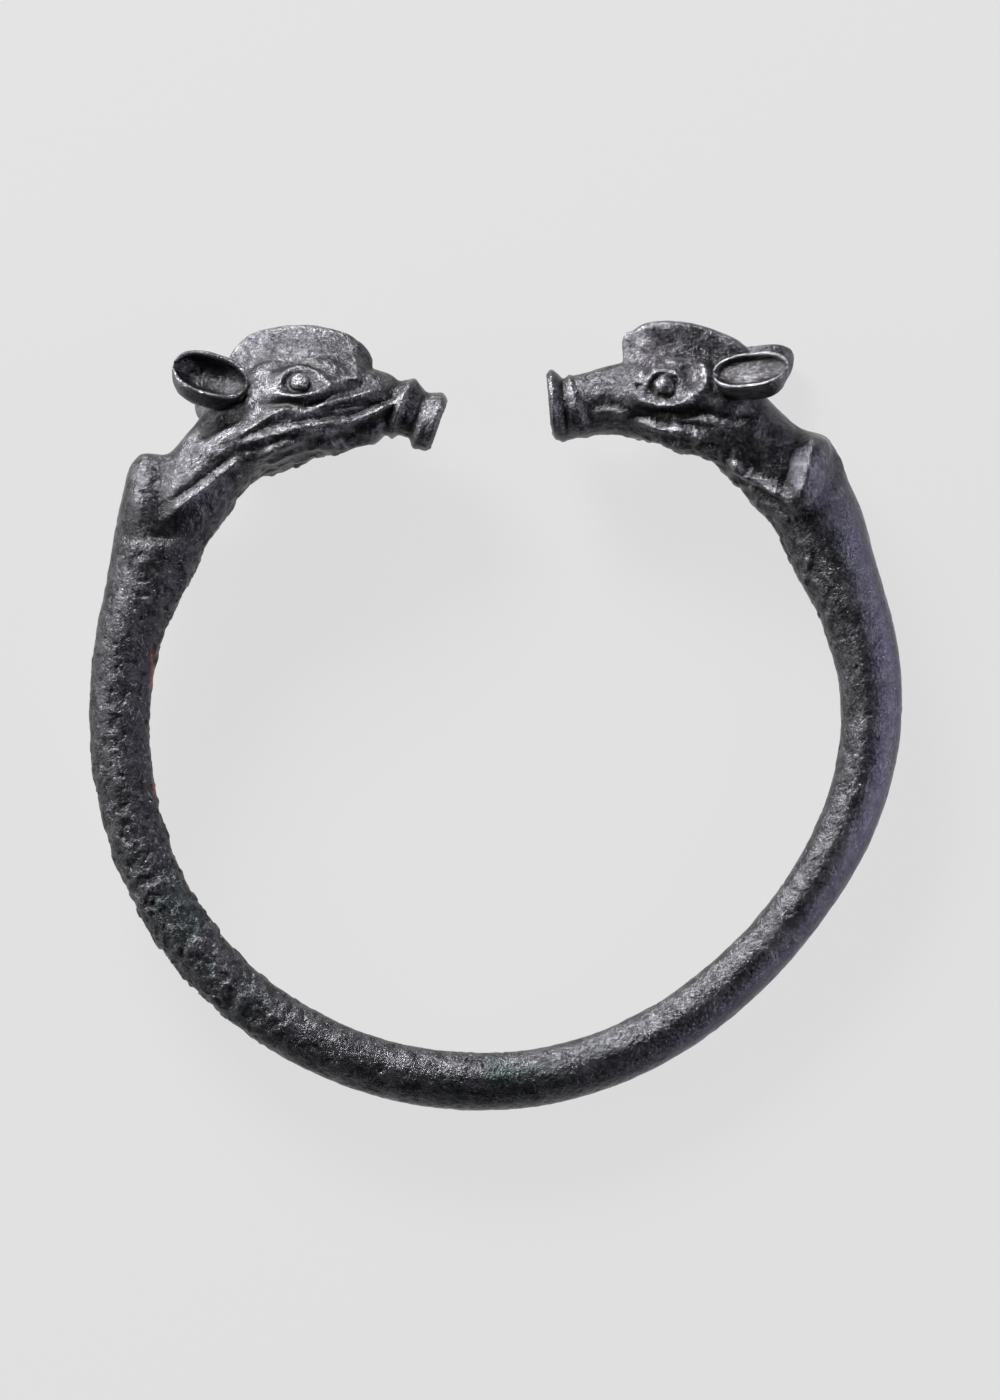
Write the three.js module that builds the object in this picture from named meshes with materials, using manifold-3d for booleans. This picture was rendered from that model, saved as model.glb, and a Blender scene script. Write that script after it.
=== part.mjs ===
// Open bronze bracelet, cast in one piece: a round bar bent to a hoop, whose two ends are boar heads
// that face each other across a gap. Millimetres, +Z up. The bracelet lies on its side as a loose one
// does, on small worn flats: a long one under the hoop's lower right, and spots under each head's
// lower ear and under the right head's shoulder.
//
// The hoop is first built in its own plane: x to the right, y towards the heads, z towards the viewer.
// A place on it is an angle, turned from the +y axis towards one side, and a radius. Each head is drawn
// along its own middle line: t runs back from its snout, v towards the crest and l sideways.
import * as THREE from 'three';
import { mergeVertices } from 'three/addons/utils/BufferGeometryUtils.js';
import Module from 'manifold-3d';

// Driving sizes of the whole bracelet.
const HOOP_RADIUS = 37.6; // from the middle of the hoop to the middle of the bar
const BAR_THICKNESS = 5.7; // of the bar, across
const HEAD_LENGTH = 42; // each head with its neck and shoulder, along the hoop
const RIGHT_HALF_GAP = 5.3; // from the middle of the gap to the middle of each snout disc
const LEFT_HALF_GAP = 5.6;
const REST_FLAT_DEPTH = 0.15; // worn off the spots that the bracelet lies on

// Crest, the upright mane along the top of each head.
const CREST_FOOT_HALF_WIDTH = 1.6;
const CREST_TOP_HALF_WIDTH = 0.75;
const CREST_FOOT = 2.0; // how far above the head's middle line the crest is rooted

// Ears, open cups that stand off the neck.
const EAR_LENGTH = 7.7;
const EAR_HALF_WIDTH = 2.6;
const EAR_DEPTH = 2.8;
const EAR_WALL = 0.75;
const EAR_TIP_LIFT = 0.3; // how far an ear's tip is bent up from its middle line
const RIGHT_EAR_STAND_OFF = 1.5; // sideways, from the side of the head to the middle of an ear's root
const LEFT_EAR_STAND_OFF = 0.6;

// Eyes and nostrils.
const EYE_RADIUS = 1.0;
const EYE_RISE = 0.55;
const NOSTRIL_RADIUS = 0.62;
const NOSTRIL_DEPTH = 0.55;
const SNOUT_LIP = 0.75; // how far the lip under a snout disc stands down
const SNOUT_DISH = 0.35; // how far the middle of a snout disc lies behind its edge

// How finely the casting is facetted.
const POINTS_AROUND = 30;
const HOOP_STEPS = 24;

// The tables below draw each head DRAWN_HEAD_LENGTH long; HEAD_SCALE makes it HEAD_LENGTH long.
const DRAWN_HEAD_LENGTH = 42;
const HEAD_SCALE = HEAD_LENGTH / DRAWN_HEAD_LENGTH;

// The bar isn't bent to a true circle and isn't equally thick. at: degrees clockwise from the gap;
// off: its middle outside (+) or inside (-) the hoop's circle; thick: both are shares of BAR_THICKNESS.
const HOOP_ROWS = [
  { at: 74, off: -0.114, thick: 1.24 },
  { at: 90, off: -0.009, thick: 1.08 },
  { at: 102, off: -0.035, thick: 1.02 },
  { at: 125, off: -0.202, thick: 0.95 },
  { at: 142, off: -0.202, thick: 0.965 },
  { at: 180, off: 0.026, thick: 1.01 },
  { at: 232, off: 0.175, thick: 0.965 },
  { at: 270, off: 0.0, thick: 1.06 },
  { at: 286, off: -0.079, thick: 1.23 },
];

// Core of each head. t: back from the snout; off: its middle line outside the hoop's circle;
// up, down: half heights above and below that line; half: half width.
const RIGHT_CORE = [
  { t: 0, off: -7.14, up: 3.1, down: 3.15, half: 3.0 },
  { t: 3, off: -7.01, up: 3.15, down: 2.9, half: 2.85 },
  { t: 5, off: -6.22, up: 3.3, down: 3.1, half: 2.75 },
  { t: 7, off: -5.28, up: 3.55, down: 3.35, half: 2.9 },
  { t: 9, off: -4.39, up: 3.9, down: 3.76, half: 3.3 },
  { t: 12, off: -3.19, up: 4.75, down: 4.16, half: 3.9 },
  { t: 15, off: -2.18, up: 5.3, down: 4.68, half: 4.2 },
  { t: 18, off: -1.33, up: 5.1, down: 4.6, half: 4.2 },
  { t: 21, off: -0.78, up: 4.1, down: 4.4, half: 4.0 },
  { t: 23, off: -0.7, up: 3.9, down: 4.5, half: 3.85 },
  { t: 25, off: -0.61, up: 4.1, down: 4.4, half: 3.8 },
  { t: 27.3, off: -0.46, up: 5.25, down: 4.5, half: 4.0 },
  { t: 29, off: -0.31, up: 5.15, down: 4.5, half: 4.1 },
  { t: 31, off: -0.31, up: 4.5, down: 4.3, half: 4.0 },
  { t: 34, off: -0.53, up: 4.3, down: 4.2, half: 3.75 },
  { t: 38, off: -0.87, up: 3.9, down: 3.95, half: 3.5 },
];
const LEFT_CORE = [
  { t: 0, off: -8.95, up: 2.4, down: 2.9, half: 2.8 },
  { t: 3, off: -7.16, up: 2.75, down: 2.75, half: 2.6 },
  { t: 5, off: -6.3, up: 3.1, down: 2.65, half: 2.7 },
  { t: 7, off: -5.58, up: 3.8, down: 3.7, half: 2.9 },
  { t: 9, off: -4.88, up: 4.2, down: 4.1, half: 3.2 },
  { t: 12, off: -3.74, up: 5.0, down: 4.7, half: 3.8 },
  { t: 15, off: -2.45, up: 5.6, down: 5.13, half: 4.2 },
  { t: 18, off: -1.51, up: 5.6, down: 5.1, half: 4.3 },
  { t: 19.5, off: -1.2, up: 5.4, down: 5.0, half: 4.25 },
  { t: 21, off: -0.96, up: 5.0, down: 4.4, half: 4.1 },
  { t: 23, off: -0.72, up: 4.5, down: 4.0, half: 3.9 },
  { t: 25, off: -0.46, up: 4.1, down: 4.2, half: 3.8 },
  { t: 27.2, off: -0.25, up: 3.95, down: 4.5, half: 3.9 },
  { t: 29, off: -0.15, up: 5.65, down: 4.7, half: 4.2 },
  { t: 31, off: -0.08, up: 5.7, down: 4.6, half: 4.3 },
  { t: 33, off: -0.08, up: 5.15, down: 4.5, half: 4.1 },
  { t: 35, off: -0.17, up: 4.6, down: 4.45, half: 3.9 },
  { t: 38, off: -0.37, up: 3.95, down: 4.15, half: 3.55 },
];

// Rings round a snout: the rim of its disc, the groove behind it and the fold behind that.
// slant: how much further back a ring lies under the snout than over it.
const RIGHT_RINGS = [
  { t: 0.6, slant: 0, width: 0.55, height: 0.3 },
  { t: 1.9, slant: 0.2, width: 0.55, height: -0.35 },
  { t: 3.3, slant: 0.4, width: 0.6, height: 0.25 },
];
const LEFT_RINGS = [
  { t: 0.7, slant: 0, width: 0.6, height: 0.3 },
  { t: 2.1, slant: 0.5, width: 0.6, height: -0.35 },
  { t: 3.4, slant: 1.6, width: 0.6, height: 0.45 },
  { t: 4.8, slant: 1.2, width: 0.6, height: -0.25 },
];

// Carving of each head: folds (+) and grooves (-) that run from one place to another by way of a
// third, each place [t, v]. They're the same on both sides of a head.
const RIGHT_STROKES = [
  { name: 'brow', from: [14.9, 4.2], via: [12.4, 4.9], to: [9.4, 3.2], width: 0.75, height: 0.4 },
  { name: 'upper lid', from: [14.8, 2.9], via: [12.2, 4.6], to: [10.0, 1.5], width: 0.45, height: 0.3 },
  { name: 'lower lid', from: [15.2, 2.3], via: [12.4, -1.2], to: [9.8, 1.2], width: 0.5, height: 0.5 },
  { name: 'ear fold', from: [15.3, 4.2], via: [15.9, 3.6], to: [15.9, 2.2], width: 0.4, height: 0.4 },
  { name: 'cheek groove', from: [17.6, 0.4], via: [13.0, -0.9], to: [9.0, 0.2], width: 0.6, height: -0.4 },
  { name: 'lip fold', from: [5.3, -0.4], via: [7.0, -0.4], to: [8.8, -1.1], width: 0.45, height: 0.3 },
  { name: 'mouth', from: [17.6, -0.6], via: [13.8, -1.6], to: [9.4, -1.1], width: 0.4, height: -0.45 },
  { name: 'lower lip', from: [18.0, -1.7], via: [14.0, -2.2], to: [9.8, -1.8], width: 0.4, height: 0.45 },
  { name: 'jaw edge', from: [20.5, -3.3], via: [15.0, -3.6], to: [9.0, -2.9], width: 0.8, height: 0.35 },
  { name: 'neck edge', from: [22.4, -2.6], via: [26.4, -2.0], to: [30.8, -0.9], width: 0.6, height: 0.45 },
  { name: 'collar', from: [25.4, 4.8], via: [26.9, 1.9], to: [30.4, -0.6], width: 0.55, height: -0.35 },
  { name: 'shoulder', from: [27.4, 4.6], via: [28.6, 2.6], to: [31.8, -0.8], width: 1.4, height: 1.0 },
];
const LEFT_STROKES = [
  { name: 'brow', from: [17.6, 4.0], via: [14.2, 5.6], to: [9.6, 2.9], width: 0.65, height: 0.5 },
  { name: 'upper lid', from: [16.3, 2.6], via: [14.4, 4.9], to: [11.6, 1.4], width: 0.4, height: 0.3 },
  { name: 'lower lid', from: [16.8, 2.5], via: [14.5, -1.4], to: [11.6, 1.3], width: 0.45, height: 0.5 },
  { name: 'cheek groove', from: [18.6, 0.9], via: [13.8, -1.2], to: [8.7, 1.2], width: 0.55, height: -0.5 },
  { name: 'upper lip', from: [13.0, -0.6], via: [10.4, -0.3], to: [6.6, 1.0], width: 0.4, height: 0.4 },
  { name: 'lip groove', from: [12.6, -1.2], via: [9.6, -0.9], to: [6.4, -0.2], width: 0.35, height: -0.4 },
  { name: 'mouth', from: [16.0, -2.1], via: [11.0, -2.0], to: [6.6, -0.7], width: 0.35, height: -0.45 },
  { name: 'lower lip', from: [13.6, -3.0], via: [9.8, -2.9], to: [5.6, -0.7], width: 0.45, height: 0.5 },
  { name: 'neck fold', from: [21.0, -0.9], via: [18.0, -0.9], to: [15.0, -0.5], width: 0.5, height: 0.45 },
  { name: 'cheek fold', from: [21.5, -1.6], via: [18.0, -2.6], to: [13.6, -2.7], width: 0.5, height: 0.45 },
  { name: 'jaw edge', from: [22.0, -3.5], via: [17.0, -4.2], to: [11.0, -3.4], width: 0.8, height: 0.45 },
  { name: 'neck edge', from: [22.4, -2.9], via: [28.0, -2.7], to: [32.0, -1.0], width: 0.6, height: 0.5 },
  { name: 'collar', from: [27.4, 4.2], via: [28.6, 1.4], to: [31.8, -0.8], width: 0.55, height: -0.4 },
  { name: 'shoulder', from: [29.6, 4.6], via: [30.6, 2.6], to: [33.0, -0.4], width: 1.5, height: 0.8 },
];

// Top line of each crest, from its upright front edge to where it sinks into the neck, as [t, v].
const RIGHT_CREST = [
  [8.55, 6.0], [8.8, 6.7], [9.4, 6.95], [9.9, 7.45], [10.8, 7.85], [12.4, 8.15], [14.2, 8.2],
  [15.8, 8.05], [17.2, 7.85], [18.4, 7.3], [19.6, 6.2], [20.8, 4.6],
];
const LEFT_CREST = [
  [7.4, 4.9], [7.7, 5.7], [8.2, 6.4], [9.0, 7.1], [10.0, 7.8], [11.4, 8.4], [13.2, 8.9],
  [15.2, 9.2], [16.7, 9.25], [17.9, 8.75], [18.9, 7.5], [19.8, 6.0], [21.0, 4.4],
];

// Each head whole. side: 1 right, -1 left; roll: degrees its crest leans towards the viewer; pitch:
// degrees the top of its snout disc leans forward; eye: its middle as [t, v]; ear: its root at t and v,
// then its rise from the neck, its splay sideways and how far its open side looks up, in degrees;
// wide: its width as a share of EAR_HALF_WIDTH; far: the far ear's length as a share of EAR_LENGTH;
// hollow: the share of the depth inside the wall that is hollowed out.
const RIGHT_HEAD = {
  side: 1, halfGap: RIGHT_HALF_GAP, roll: 7.5, core: RIGHT_CORE, rings: RIGHT_RINGS,
  strokes: RIGHT_STROKES, crest: RIGHT_CREST, eye: [12.3, 2.0], pitch: 14,
  ear: {
    t: 16.3, v: 4.2, standOff: RIGHT_EAR_STAND_OFF, rise: 21, splay: 12, lookUp: 42,
    wide: 0.85, far: 1.05, hollow: 0.5,
  },
};
const LEFT_HEAD = {
  side: -1, halfGap: LEFT_HALF_GAP, roll: -16, core: LEFT_CORE, rings: LEFT_RINGS,
  strokes: LEFT_STROKES, crest: LEFT_CREST, eye: [14.4, 2.0], pitch: -7,
  ear: {
    t: 18.4, v: 3.2, standOff: LEFT_EAR_STAND_OFF, rise: 38, splay: 12, lookUp: 18,
    wide: 1, far: 0.97, hollow: 0.85,
  },
};

const radians = THREE.MathUtils.degToRad;
const smooth = (x, from, to) => THREE.MathUtils.smoothstep(x, from, to);
const bell = (distance, width) => Math.exp(-((distance / width) ** 2));

// Value of one column at x, on a smooth curve through a table's rows (cubic with central slopes).
function onCurve(rows, key, column, x) {
  const last = rows.length - 1;
  let i = 0;
  while (i < last - 1 && x > rows[i + 1][key]) i += 1;
  const slope = (k) => {
    const before = rows[Math.max(k - 1, 0)];
    const after = rows[Math.min(k + 1, last)];
    return (after[column] - before[column]) / (after[key] - before[key]);
  };
  const span = rows[i + 1][key] - rows[i][key];
  const u = THREE.MathUtils.clamp((x - rows[i][key]) / span, 0, 1);
  const u2 = u * u;
  const u3 = u2 * u;
  return rows[i][column] * (2 * u3 - 3 * u2 + 1)
    + slope(i) * span * (u3 - 2 * u2 + u)
    + rows[i + 1][column] * (3 * u2 - 2 * u3)
    + slope(i + 1) * span * (u3 - u2);
}

// Point of the hoop's plane at an angle from +y, to the right when positive.
function polar(angle, radius) {
  return new THREE.Vector2(Math.sin(angle) * radius, Math.cos(angle) * radius);
}

// Bar of the hoop at a clockwise angle in degrees: its place and half thickness.
function barAt(degrees) {
  return {
    radius: HOOP_RADIUS + BAR_THICKNESS * onCurve(HOOP_ROWS, 'at', 'off', degrees),
    half: (BAR_THICKNESS / 2) * onCurve(HOOP_ROWS, 'at', 'thick', degrees),
  };
}

// Finishes a head: how far its snout and its joint with the bar are turned from +y, and its core's
// last row, which is the bar's own section.
function placeHead(head) {
  const snoutRadius = HOOP_RADIUS + head.core[0].off * HEAD_SCALE;
  const snoutAngle = Math.asin(head.halfGap / snoutRadius);
  const jointAngle = snoutAngle + HEAD_LENGTH / HOOP_RADIUS;
  const degrees = THREE.MathUtils.radToDeg(jointAngle);
  const bar = barAt(head.side > 0 ? degrees : 360 - degrees);
  const drawnHalf = bar.half / HEAD_SCALE;
  const joint = {
    t: DRAWN_HEAD_LENGTH,
    off: (bar.radius - HOOP_RADIUS) / HEAD_SCALE,
    up: drawnHalf,
    down: drawnHalf,
    half: drawnHalf,
  };
  return { ...head, snoutAngle, jointDegrees: degrees, core: [...head.core, joint] };
}

// Point of a head's middle line, t drawn units back from the snout.
function headMiddle(head, t) {
  const angle = head.snoutAngle + (t * HEAD_SCALE) / HOOP_RADIUS;
  const radius = HOOP_RADIUS + onCurve(head.core, 't', 'off', t) * HEAD_SCALE;
  const point = polar(angle, radius);
  point.x *= head.side;
  return point;
}

// Axes of a head at t: back along the neck, towards the crest, and sideways to the viewer.
function headFrame(head, t) {
  const reach = 0.4;
  const ahead = headMiddle(head, Math.min(t + reach, DRAWN_HEAD_LENGTH));
  const behind = headMiddle(head, Math.max(t - reach, 0));
  const back = ahead.sub(behind).normalize();
  const out = new THREE.Vector2(-back.y, back.x).multiplyScalar(head.side);
  const lean = radians(head.roll) * (1 - smooth(t, 30, DRAWN_HEAD_LENGTH));
  const middle = headMiddle(head, t);
  return {
    middle: new THREE.Vector3(middle.x, middle.y, 0),
    back: new THREE.Vector3(back.x, back.y, 0),
    crest: new THREE.Vector3(out.x * Math.cos(lean), out.y * Math.cos(lean), Math.sin(lean)),
    side: new THREE.Vector3(-out.x * Math.sin(lean), -out.y * Math.sin(lean), Math.cos(lean)),
    forward: Math.tan(radians(head.pitch)) * (1 - smooth(t, 1, 5.5)),
  };
}

// Place in space of a drawn point (v, l) of the section that a frame stands in. A section near the
// snout leans forward with the snout disc.
function inFrame(frame, v, l) {
  return frame.middle.clone()
    .addScaledVector(frame.crest, v * HEAD_SCALE)
    .addScaledVector(frame.side, l * HEAD_SCALE)
    .addScaledVector(frame.back, -frame.forward * v * HEAD_SCALE);
}

// Distance of a place from a stroke, a curve with one bend, taken over short straight lengths.
function strokeDistance(stroke, t, v) {
  const pieces = 8;
  let nearest = Infinity;
  let [t0, v0] = stroke.from;
  for (let i = 1; i <= pieces; i += 1) {
    const u = i / pieces;
    const weights = [(1 - u) ** 2, 2 * u * (1 - u), u * u];
    const t1 = weights[0] * stroke.from[0] + weights[1] * stroke.via[0] + weights[2] * stroke.to[0];
    const v1 = weights[0] * stroke.from[1] + weights[1] * stroke.via[1] + weights[2] * stroke.to[1];
    const share = ((t - t0) * (t1 - t0) + (v - v0) * (v1 - v0)) / ((t1 - t0) ** 2 + (v1 - v0) ** 2);
    const u1 = THREE.MathUtils.clamp(share, 0, 1);
    nearest = Math.min(nearest, Math.hypot(t - t0 - u1 * (t1 - t0), v - v0 - u1 * (v1 - v0)));
    [t0, v0] = [t1, v1];
  }
  return nearest;
}

// How far the carving lifts the core's surface at a place: rings, strokes, eye socket and throat.
function carving(head, t, v, l, turn) {
  let lift = 0;
  for (const ring of head.rings) {
    const place = ring.t + ring.slant * (1 - Math.cos(turn)) / 2;
    lift += ring.height * bell(t - place, ring.width);
  }
  lift += (SNOUT_LIP / HEAD_SCALE) * bell(t - 1.9, 0.8) * Math.max(0, -Math.cos(turn)) ** 3;
  for (const stroke of head.strokes) {
    lift += stroke.height * bell(strokeDistance(stroke, t, v), stroke.width);
  }
  const eyeDistance = Math.hypot(t - head.eye[0], v - head.eye[1]);
  lift -= 0.3 * bell(eyeDistance - EYE_RADIUS / HEAD_SCALE, 0.5);
  const throat = smooth(t, 11, 15) * (1 - smooth(t, 19, 24));
  if (v < 0) lift -= 0.8 * throat * bell(l, 1.7);
  return lift;
}

// One ring of points round a section whose half sizes are up, down and half. squareness above 2
// makes the lower half boxy, as a jaw is. lift gives the carving's height at (v, l, turn).
function sectionRing(place, { up, down, half, squareness, lift }) {
  const ring = [];
  for (let j = 0; j < POINTS_AROUND; j += 1) {
    const even = (j / POINTS_AROUND) * 2 * Math.PI;
    const turn = even + 0.2 * Math.sin(2 * even);
    const c = Math.cos(turn);
    const s = Math.sin(turn);
    const height = c > 0 ? up : down;
    const power = c > 0 ? 1 : 2 / squareness;
    const v = height * Math.sign(c) * Math.abs(c) ** power;
    const l = half * Math.sign(s) * Math.abs(s) ** power;
    const normal = new THREE.Vector2(c / height, s / half).normalize();
    const rise = lift(v, l, turn);
    ring.push(place(v + normal.x * rise, l + normal.y * rise));
  }
  return ring;
}

// Section of a head's core at t, carved. The edge of the snout disc is rounded over.
function headRing(head, t) {
  const frame = headFrame(head, t);
  const size = (column) => onCurve(head.core, 't', column, t);
  const edge = 1 - 0.1 * (1 - smooth(t, -0.2, 0.45));
  const fade = 1 - smooth(t, 36, DRAWN_HEAD_LENGTH);
  return sectionRing((v, l) => inFrame(frame, v, l), {
    up: size('up') * edge,
    down: size('down') * edge,
    half: size('half') * edge,
    squareness: 2 + 0.8 * smooth(t, 9, 15) * (1 - smooth(t, 19, 25)),
    lift: (v, l, turn) => fade * carving(head, t, v, l, turn),
  });
}

// Section of the plain bar at a clockwise angle in degrees.
function barRing(degrees) {
  const { radius, half } = barAt(degrees);
  const point = polar(radians(degrees), radius);
  const middle = new THREE.Vector3(point.x, point.y, 0);
  const outward = middle.clone().normalize();
  const place = (v, l) => middle.clone().addScaledVector(outward, v).setZ(l);
  return sectionRing(place, { up: half, down: half, half, squareness: 2, lift: () => 0 });
}

// Rings that close a snout: a dished disc with two nostrils. Each is the disc's edge, drawn in.
function snoutRings(head) {
  const frame = headFrame(head, 0);
  const edge = headRing(head, 0);
  const middle = edge.reduce((sum, p) => sum.add(p), new THREE.Vector3()).divideScalar(edge.length);
  const rings = [0.88, 0.68, 0.45, 0.22].map((share) => edge.map((p) => {
    const inner = middle.clone().lerp(p, share);
    const offset = inner.clone().sub(middle);
    const v = offset.dot(frame.crest);
    const l = offset.dot(frame.side);
    const reach = head.core[0].half * HEAD_SCALE * 0.42;
    const nostril = bell(Math.hypot(Math.abs(l) - reach, v), NOSTRIL_RADIUS);
    const depth = SNOUT_DISH * (1 - share ** 2) + NOSTRIL_DEPTH * nostril;
    return inner.addScaledVector(frame.back, depth);
  }));
  return { rings, tip: middle.addScaledVector(frame.back, SNOUT_DISH) };
}

// Places along a head where its sections stand: close on the snout and face, wider on the neck.
function headPlaces() {
  const places = [];
  let t = 0;
  while (t < DRAWN_HEAD_LENGTH - 0.5) {
    places.push(t);
    const step = t < 4.9 ? 0.5 : 0.85;
    const neckStep = t < 33 ? 1 : 1.8;
    t += t < 21 ? step : neckStep;
  }
  return places;
}

// Closed solid through rings of equally many points, from a first tip point to a last one.
function skin(firstTip, rings, lastTip) {
  const count = rings[0].length;
  const positions = [firstTip, ...rings.flat(), lastTip].flatMap((p) => [p.x, p.y, p.z]);
  const triangles = [];
  const index = (i, j) => 1 + i * count + (j % count);
  for (let j = 0; j < count; j += 1) {
    triangles.push(0, index(0, j), index(0, j + 1));
    for (let i = 0; i < rings.length - 1; i += 1) {
      triangles.push(index(i, j), index(i + 1, j), index(i + 1, j + 1));
      triangles.push(index(i, j), index(i + 1, j + 1), index(i, j + 1));
    }
    triangles.push(index(rings.length - 1, j + 1), index(rings.length - 1, j), 1 + rings.length * count);
  }
  return solidFrom(positions, triangles);
}

// Six times the volume that the triangles enclose, negative when they face inwards.
function signedVolume(positions, triangles) {
  const corner = (k) => new THREE.Vector3().fromArray(positions, triangles[k] * 3);
  let volume = 0;
  for (let k = 0; k < triangles.length; k += 3) {
    volume += corner(k).dot(corner(k + 1).cross(corner(k + 2)));
  }
  return volume;
}

// Solid of a closed mesh, turned so that its faces point outwards.
function solidFrom(positions, triangles) {
  if (signedVolume(positions, triangles) < 0) triangles.reverse();
  return new wasm.Manifold(new wasm.Mesh({
    numProp: 3,
    vertProperties: new Float32Array(positions),
    triVerts: new Uint32Array(triangles),
  }));
}

// Solid of one of three.js's own closed shapes.
function solidOf(geometry) {
  const bare = geometry.clone();
  bare.deleteAttribute('normal');
  bare.deleteAttribute('uv');
  const merged = mergeVertices(bare, 1e-5);
  return solidFrom([...merged.attributes.position.array], [...merged.index.array]);
}

const wasm = await Module();
wasm.setup();

const rightHead = placeHead(RIGHT_HEAD);
const leftHead = placeHead(LEFT_HEAD);

// The bar and the cores of both heads: one skin from the right snout round the hoop to the left one.
function casting() {
  const places = headPlaces();
  const right = places.map((t) => headRing(rightHead, t));
  const left = places.map((t) => headRing(leftHead, t)).reverse();
  const start = rightHead.jointDegrees;
  const end = 360 - leftHead.jointDegrees;
  const bar = [];
  for (let i = 0; i <= HOOP_STEPS; i += 1) {
    bar.push(barRing(THREE.MathUtils.lerp(start, end, i / HOOP_STEPS)));
  }
  const rightSnout = snoutRings(rightHead);
  const leftSnout = snoutRings(leftHead);
  const rings = [
    ...rightSnout.rings.reverse(), ...right, ...bar, ...left, ...leftSnout.rings,
  ];
  return skin(rightSnout.tip, rings, leftSnout.tip);
}

// Crest of a head: a fin with a rounded top edge, thinner at its front and back ends.
function crest(head) {
  const first = head.crest[0][0];
  const last = head.crest[head.crest.length - 1][0];
  const rings = head.crest.map(([t, top]) => {
    const frame = headFrame(head, t);
    const thin = 0.55 + 0.45 * smooth(t, first, first + 1.6) * (1 - smooth(t, last - 2, last));
    const foot = (CREST_FOOT_HALF_WIDTH * thin) / HEAD_SCALE;
    const edge = (CREST_TOP_HALF_WIDTH * thin) / HEAD_SCALE;
    const root = CREST_FOOT / HEAD_SCALE;
    const shoulder = top - edge * 1.1;
    const outline = [
      [root, foot], [THREE.MathUtils.lerp(root, shoulder, 0.5), foot * 0.92],
      [shoulder, edge], [top - edge * 0.35, edge * 0.72], [top, 0],
    ];
    const mirrored = outline.slice(0, -1).reverse().map(([v, l]) => [v, -l]);
    return [...outline, ...mirrored].map(([v, l]) => inFrame(frame, v, l));
  });
  const middleOf = (ring) => ring.reduce((sum, p) => sum.add(p), new THREE.Vector3())
    .divideScalar(ring.length);
  return skin(middleOf(rings[0]), rings, middleOf(rings[rings.length - 1]));
}

// How far sideways a head's plain core reaches at (t, v), above its middle line.
function coreSide(head, t, v) {
  const up = onCurve(head.core, 't', 'up', t);
  return onCurve(head.core, 't', 'half', t) * Math.sqrt(1 - (v / up) ** 2);
}

// Ear of a head, on the viewer's side (1) or the far side (-1): an oval cup with a thick rim. Its
// section is a crescent, an outer and an inner half ellipse; the cup narrows to both of its ends.
function ear(head, near) {
  const { t, v, rise, splay, lookUp } = head.ear;
  const frame = headFrame(head, t);
  const sideways = frame.side.clone().multiplyScalar(near);
  const root = frame.middle.clone()
    .addScaledVector(frame.crest, v * HEAD_SCALE)
    .addScaledVector(sideways, coreSide(head, t, v) * HEAD_SCALE + head.ear.standOff);
  const axis = frame.back.clone().multiplyScalar(Math.cos(radians(rise)) * Math.cos(radians(splay)))
    .addScaledVector(frame.crest, Math.sin(radians(rise)) * Math.cos(radians(splay)))
    .addScaledVector(sideways, Math.sin(radians(splay)));
  const mouth = sideways.clone().addScaledVector(axis, -sideways.dot(axis)).normalize();
  const across = new THREE.Vector3().crossVectors(mouth, axis);
  if (across.dot(frame.crest) < 0) across.negate();
  const open = mouth.clone().multiplyScalar(Math.cos(radians(lookUp)))
    .addScaledVector(across, Math.sin(radians(lookUp)));
  const wide = across.clone().multiplyScalar(Math.cos(radians(lookUp)))
    .addScaledVector(mouth, -Math.sin(radians(lookUp)));
  const length = near > 0 ? EAR_LENGTH : EAR_LENGTH * head.ear.far;
  const steps = 8;
  const rimRise = 0.24; // share of the wall by which the rim's inner edge stands higher
  const rings = [];
  for (let i = 0; i <= steps; i += 1) {
    const along = -Math.cos((i / steps) * Math.PI);
    const spread = Math.max(0.18, (1 - Math.abs(along) ** 2.8) ** 0.5);
    const share = (along + 1) / 2;
    const middle = root.clone().addScaledVector(axis, length * share)
      .addScaledVector(wide, EAR_TIP_LIFT * share * share);
    const width = EAR_HALF_WIDTH * head.ear.wide * spread;
    const depth = EAR_DEPTH * spread;
    const wall = Math.min(EAR_WALL, width * 0.55);
    const hollow = head.ear.hollow * Math.max(depth - wall * 1.15, depth * 0.12);
    const ring = [];
    for (let j = 0; j <= 6; j += 1) {
      const turn = (j / 6) * Math.PI;
      ring.push(middle.clone().addScaledVector(wide, width * Math.cos(turn))
        .addScaledVector(open, -depth * Math.sin(turn)));
    }
    for (let j = 4; j >= 0; j -= 1) {
      const turn = (j / 4) * Math.PI;
      ring.push(middle.clone().addScaledVector(wide, (width - wall) * Math.cos(turn))
        .addScaledVector(open, wall * rimRise - hollow * Math.sin(turn)));
    }
    rings.push(ring);
  }
  const centre = (ring) => ring.reduce((sum, p) => sum.add(p), new THREE.Vector3())
    .divideScalar(ring.length);
  return skin(centre(rings[0]), rings, centre(rings[steps]));
}

// Eye of a head on one side: a low round boss, half sunk in the socket.
function eye(head, near) {
  const [t, v] = head.eye;
  const frame = headFrame(head, t);
  const up = onCurve(head.core, 't', 'up', t);
  const half = onCurve(head.core, 't', 'half', t);
  const l = coreSide(head, t, v);
  const place = inFrame(frame, v, near * l);
  const outward = frame.crest.clone().multiplyScalar(v / up ** 2)
    .addScaledVector(frame.side, (near * l) / half ** 2).normalize();
  const ball = new THREE.SphereGeometry(EYE_RADIUS, 10, 6);
  ball.scale(1, EYE_RISE / EYE_RADIUS, 1); // flattened along the head's side
  const turn = new THREE.Quaternion().setFromUnitVectors(new THREE.Vector3(0, 1, 0), outward);
  ball.applyQuaternion(turn);
  ball.translate(place.x, place.y, place.z);
  return solidOf(ball);
}

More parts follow.
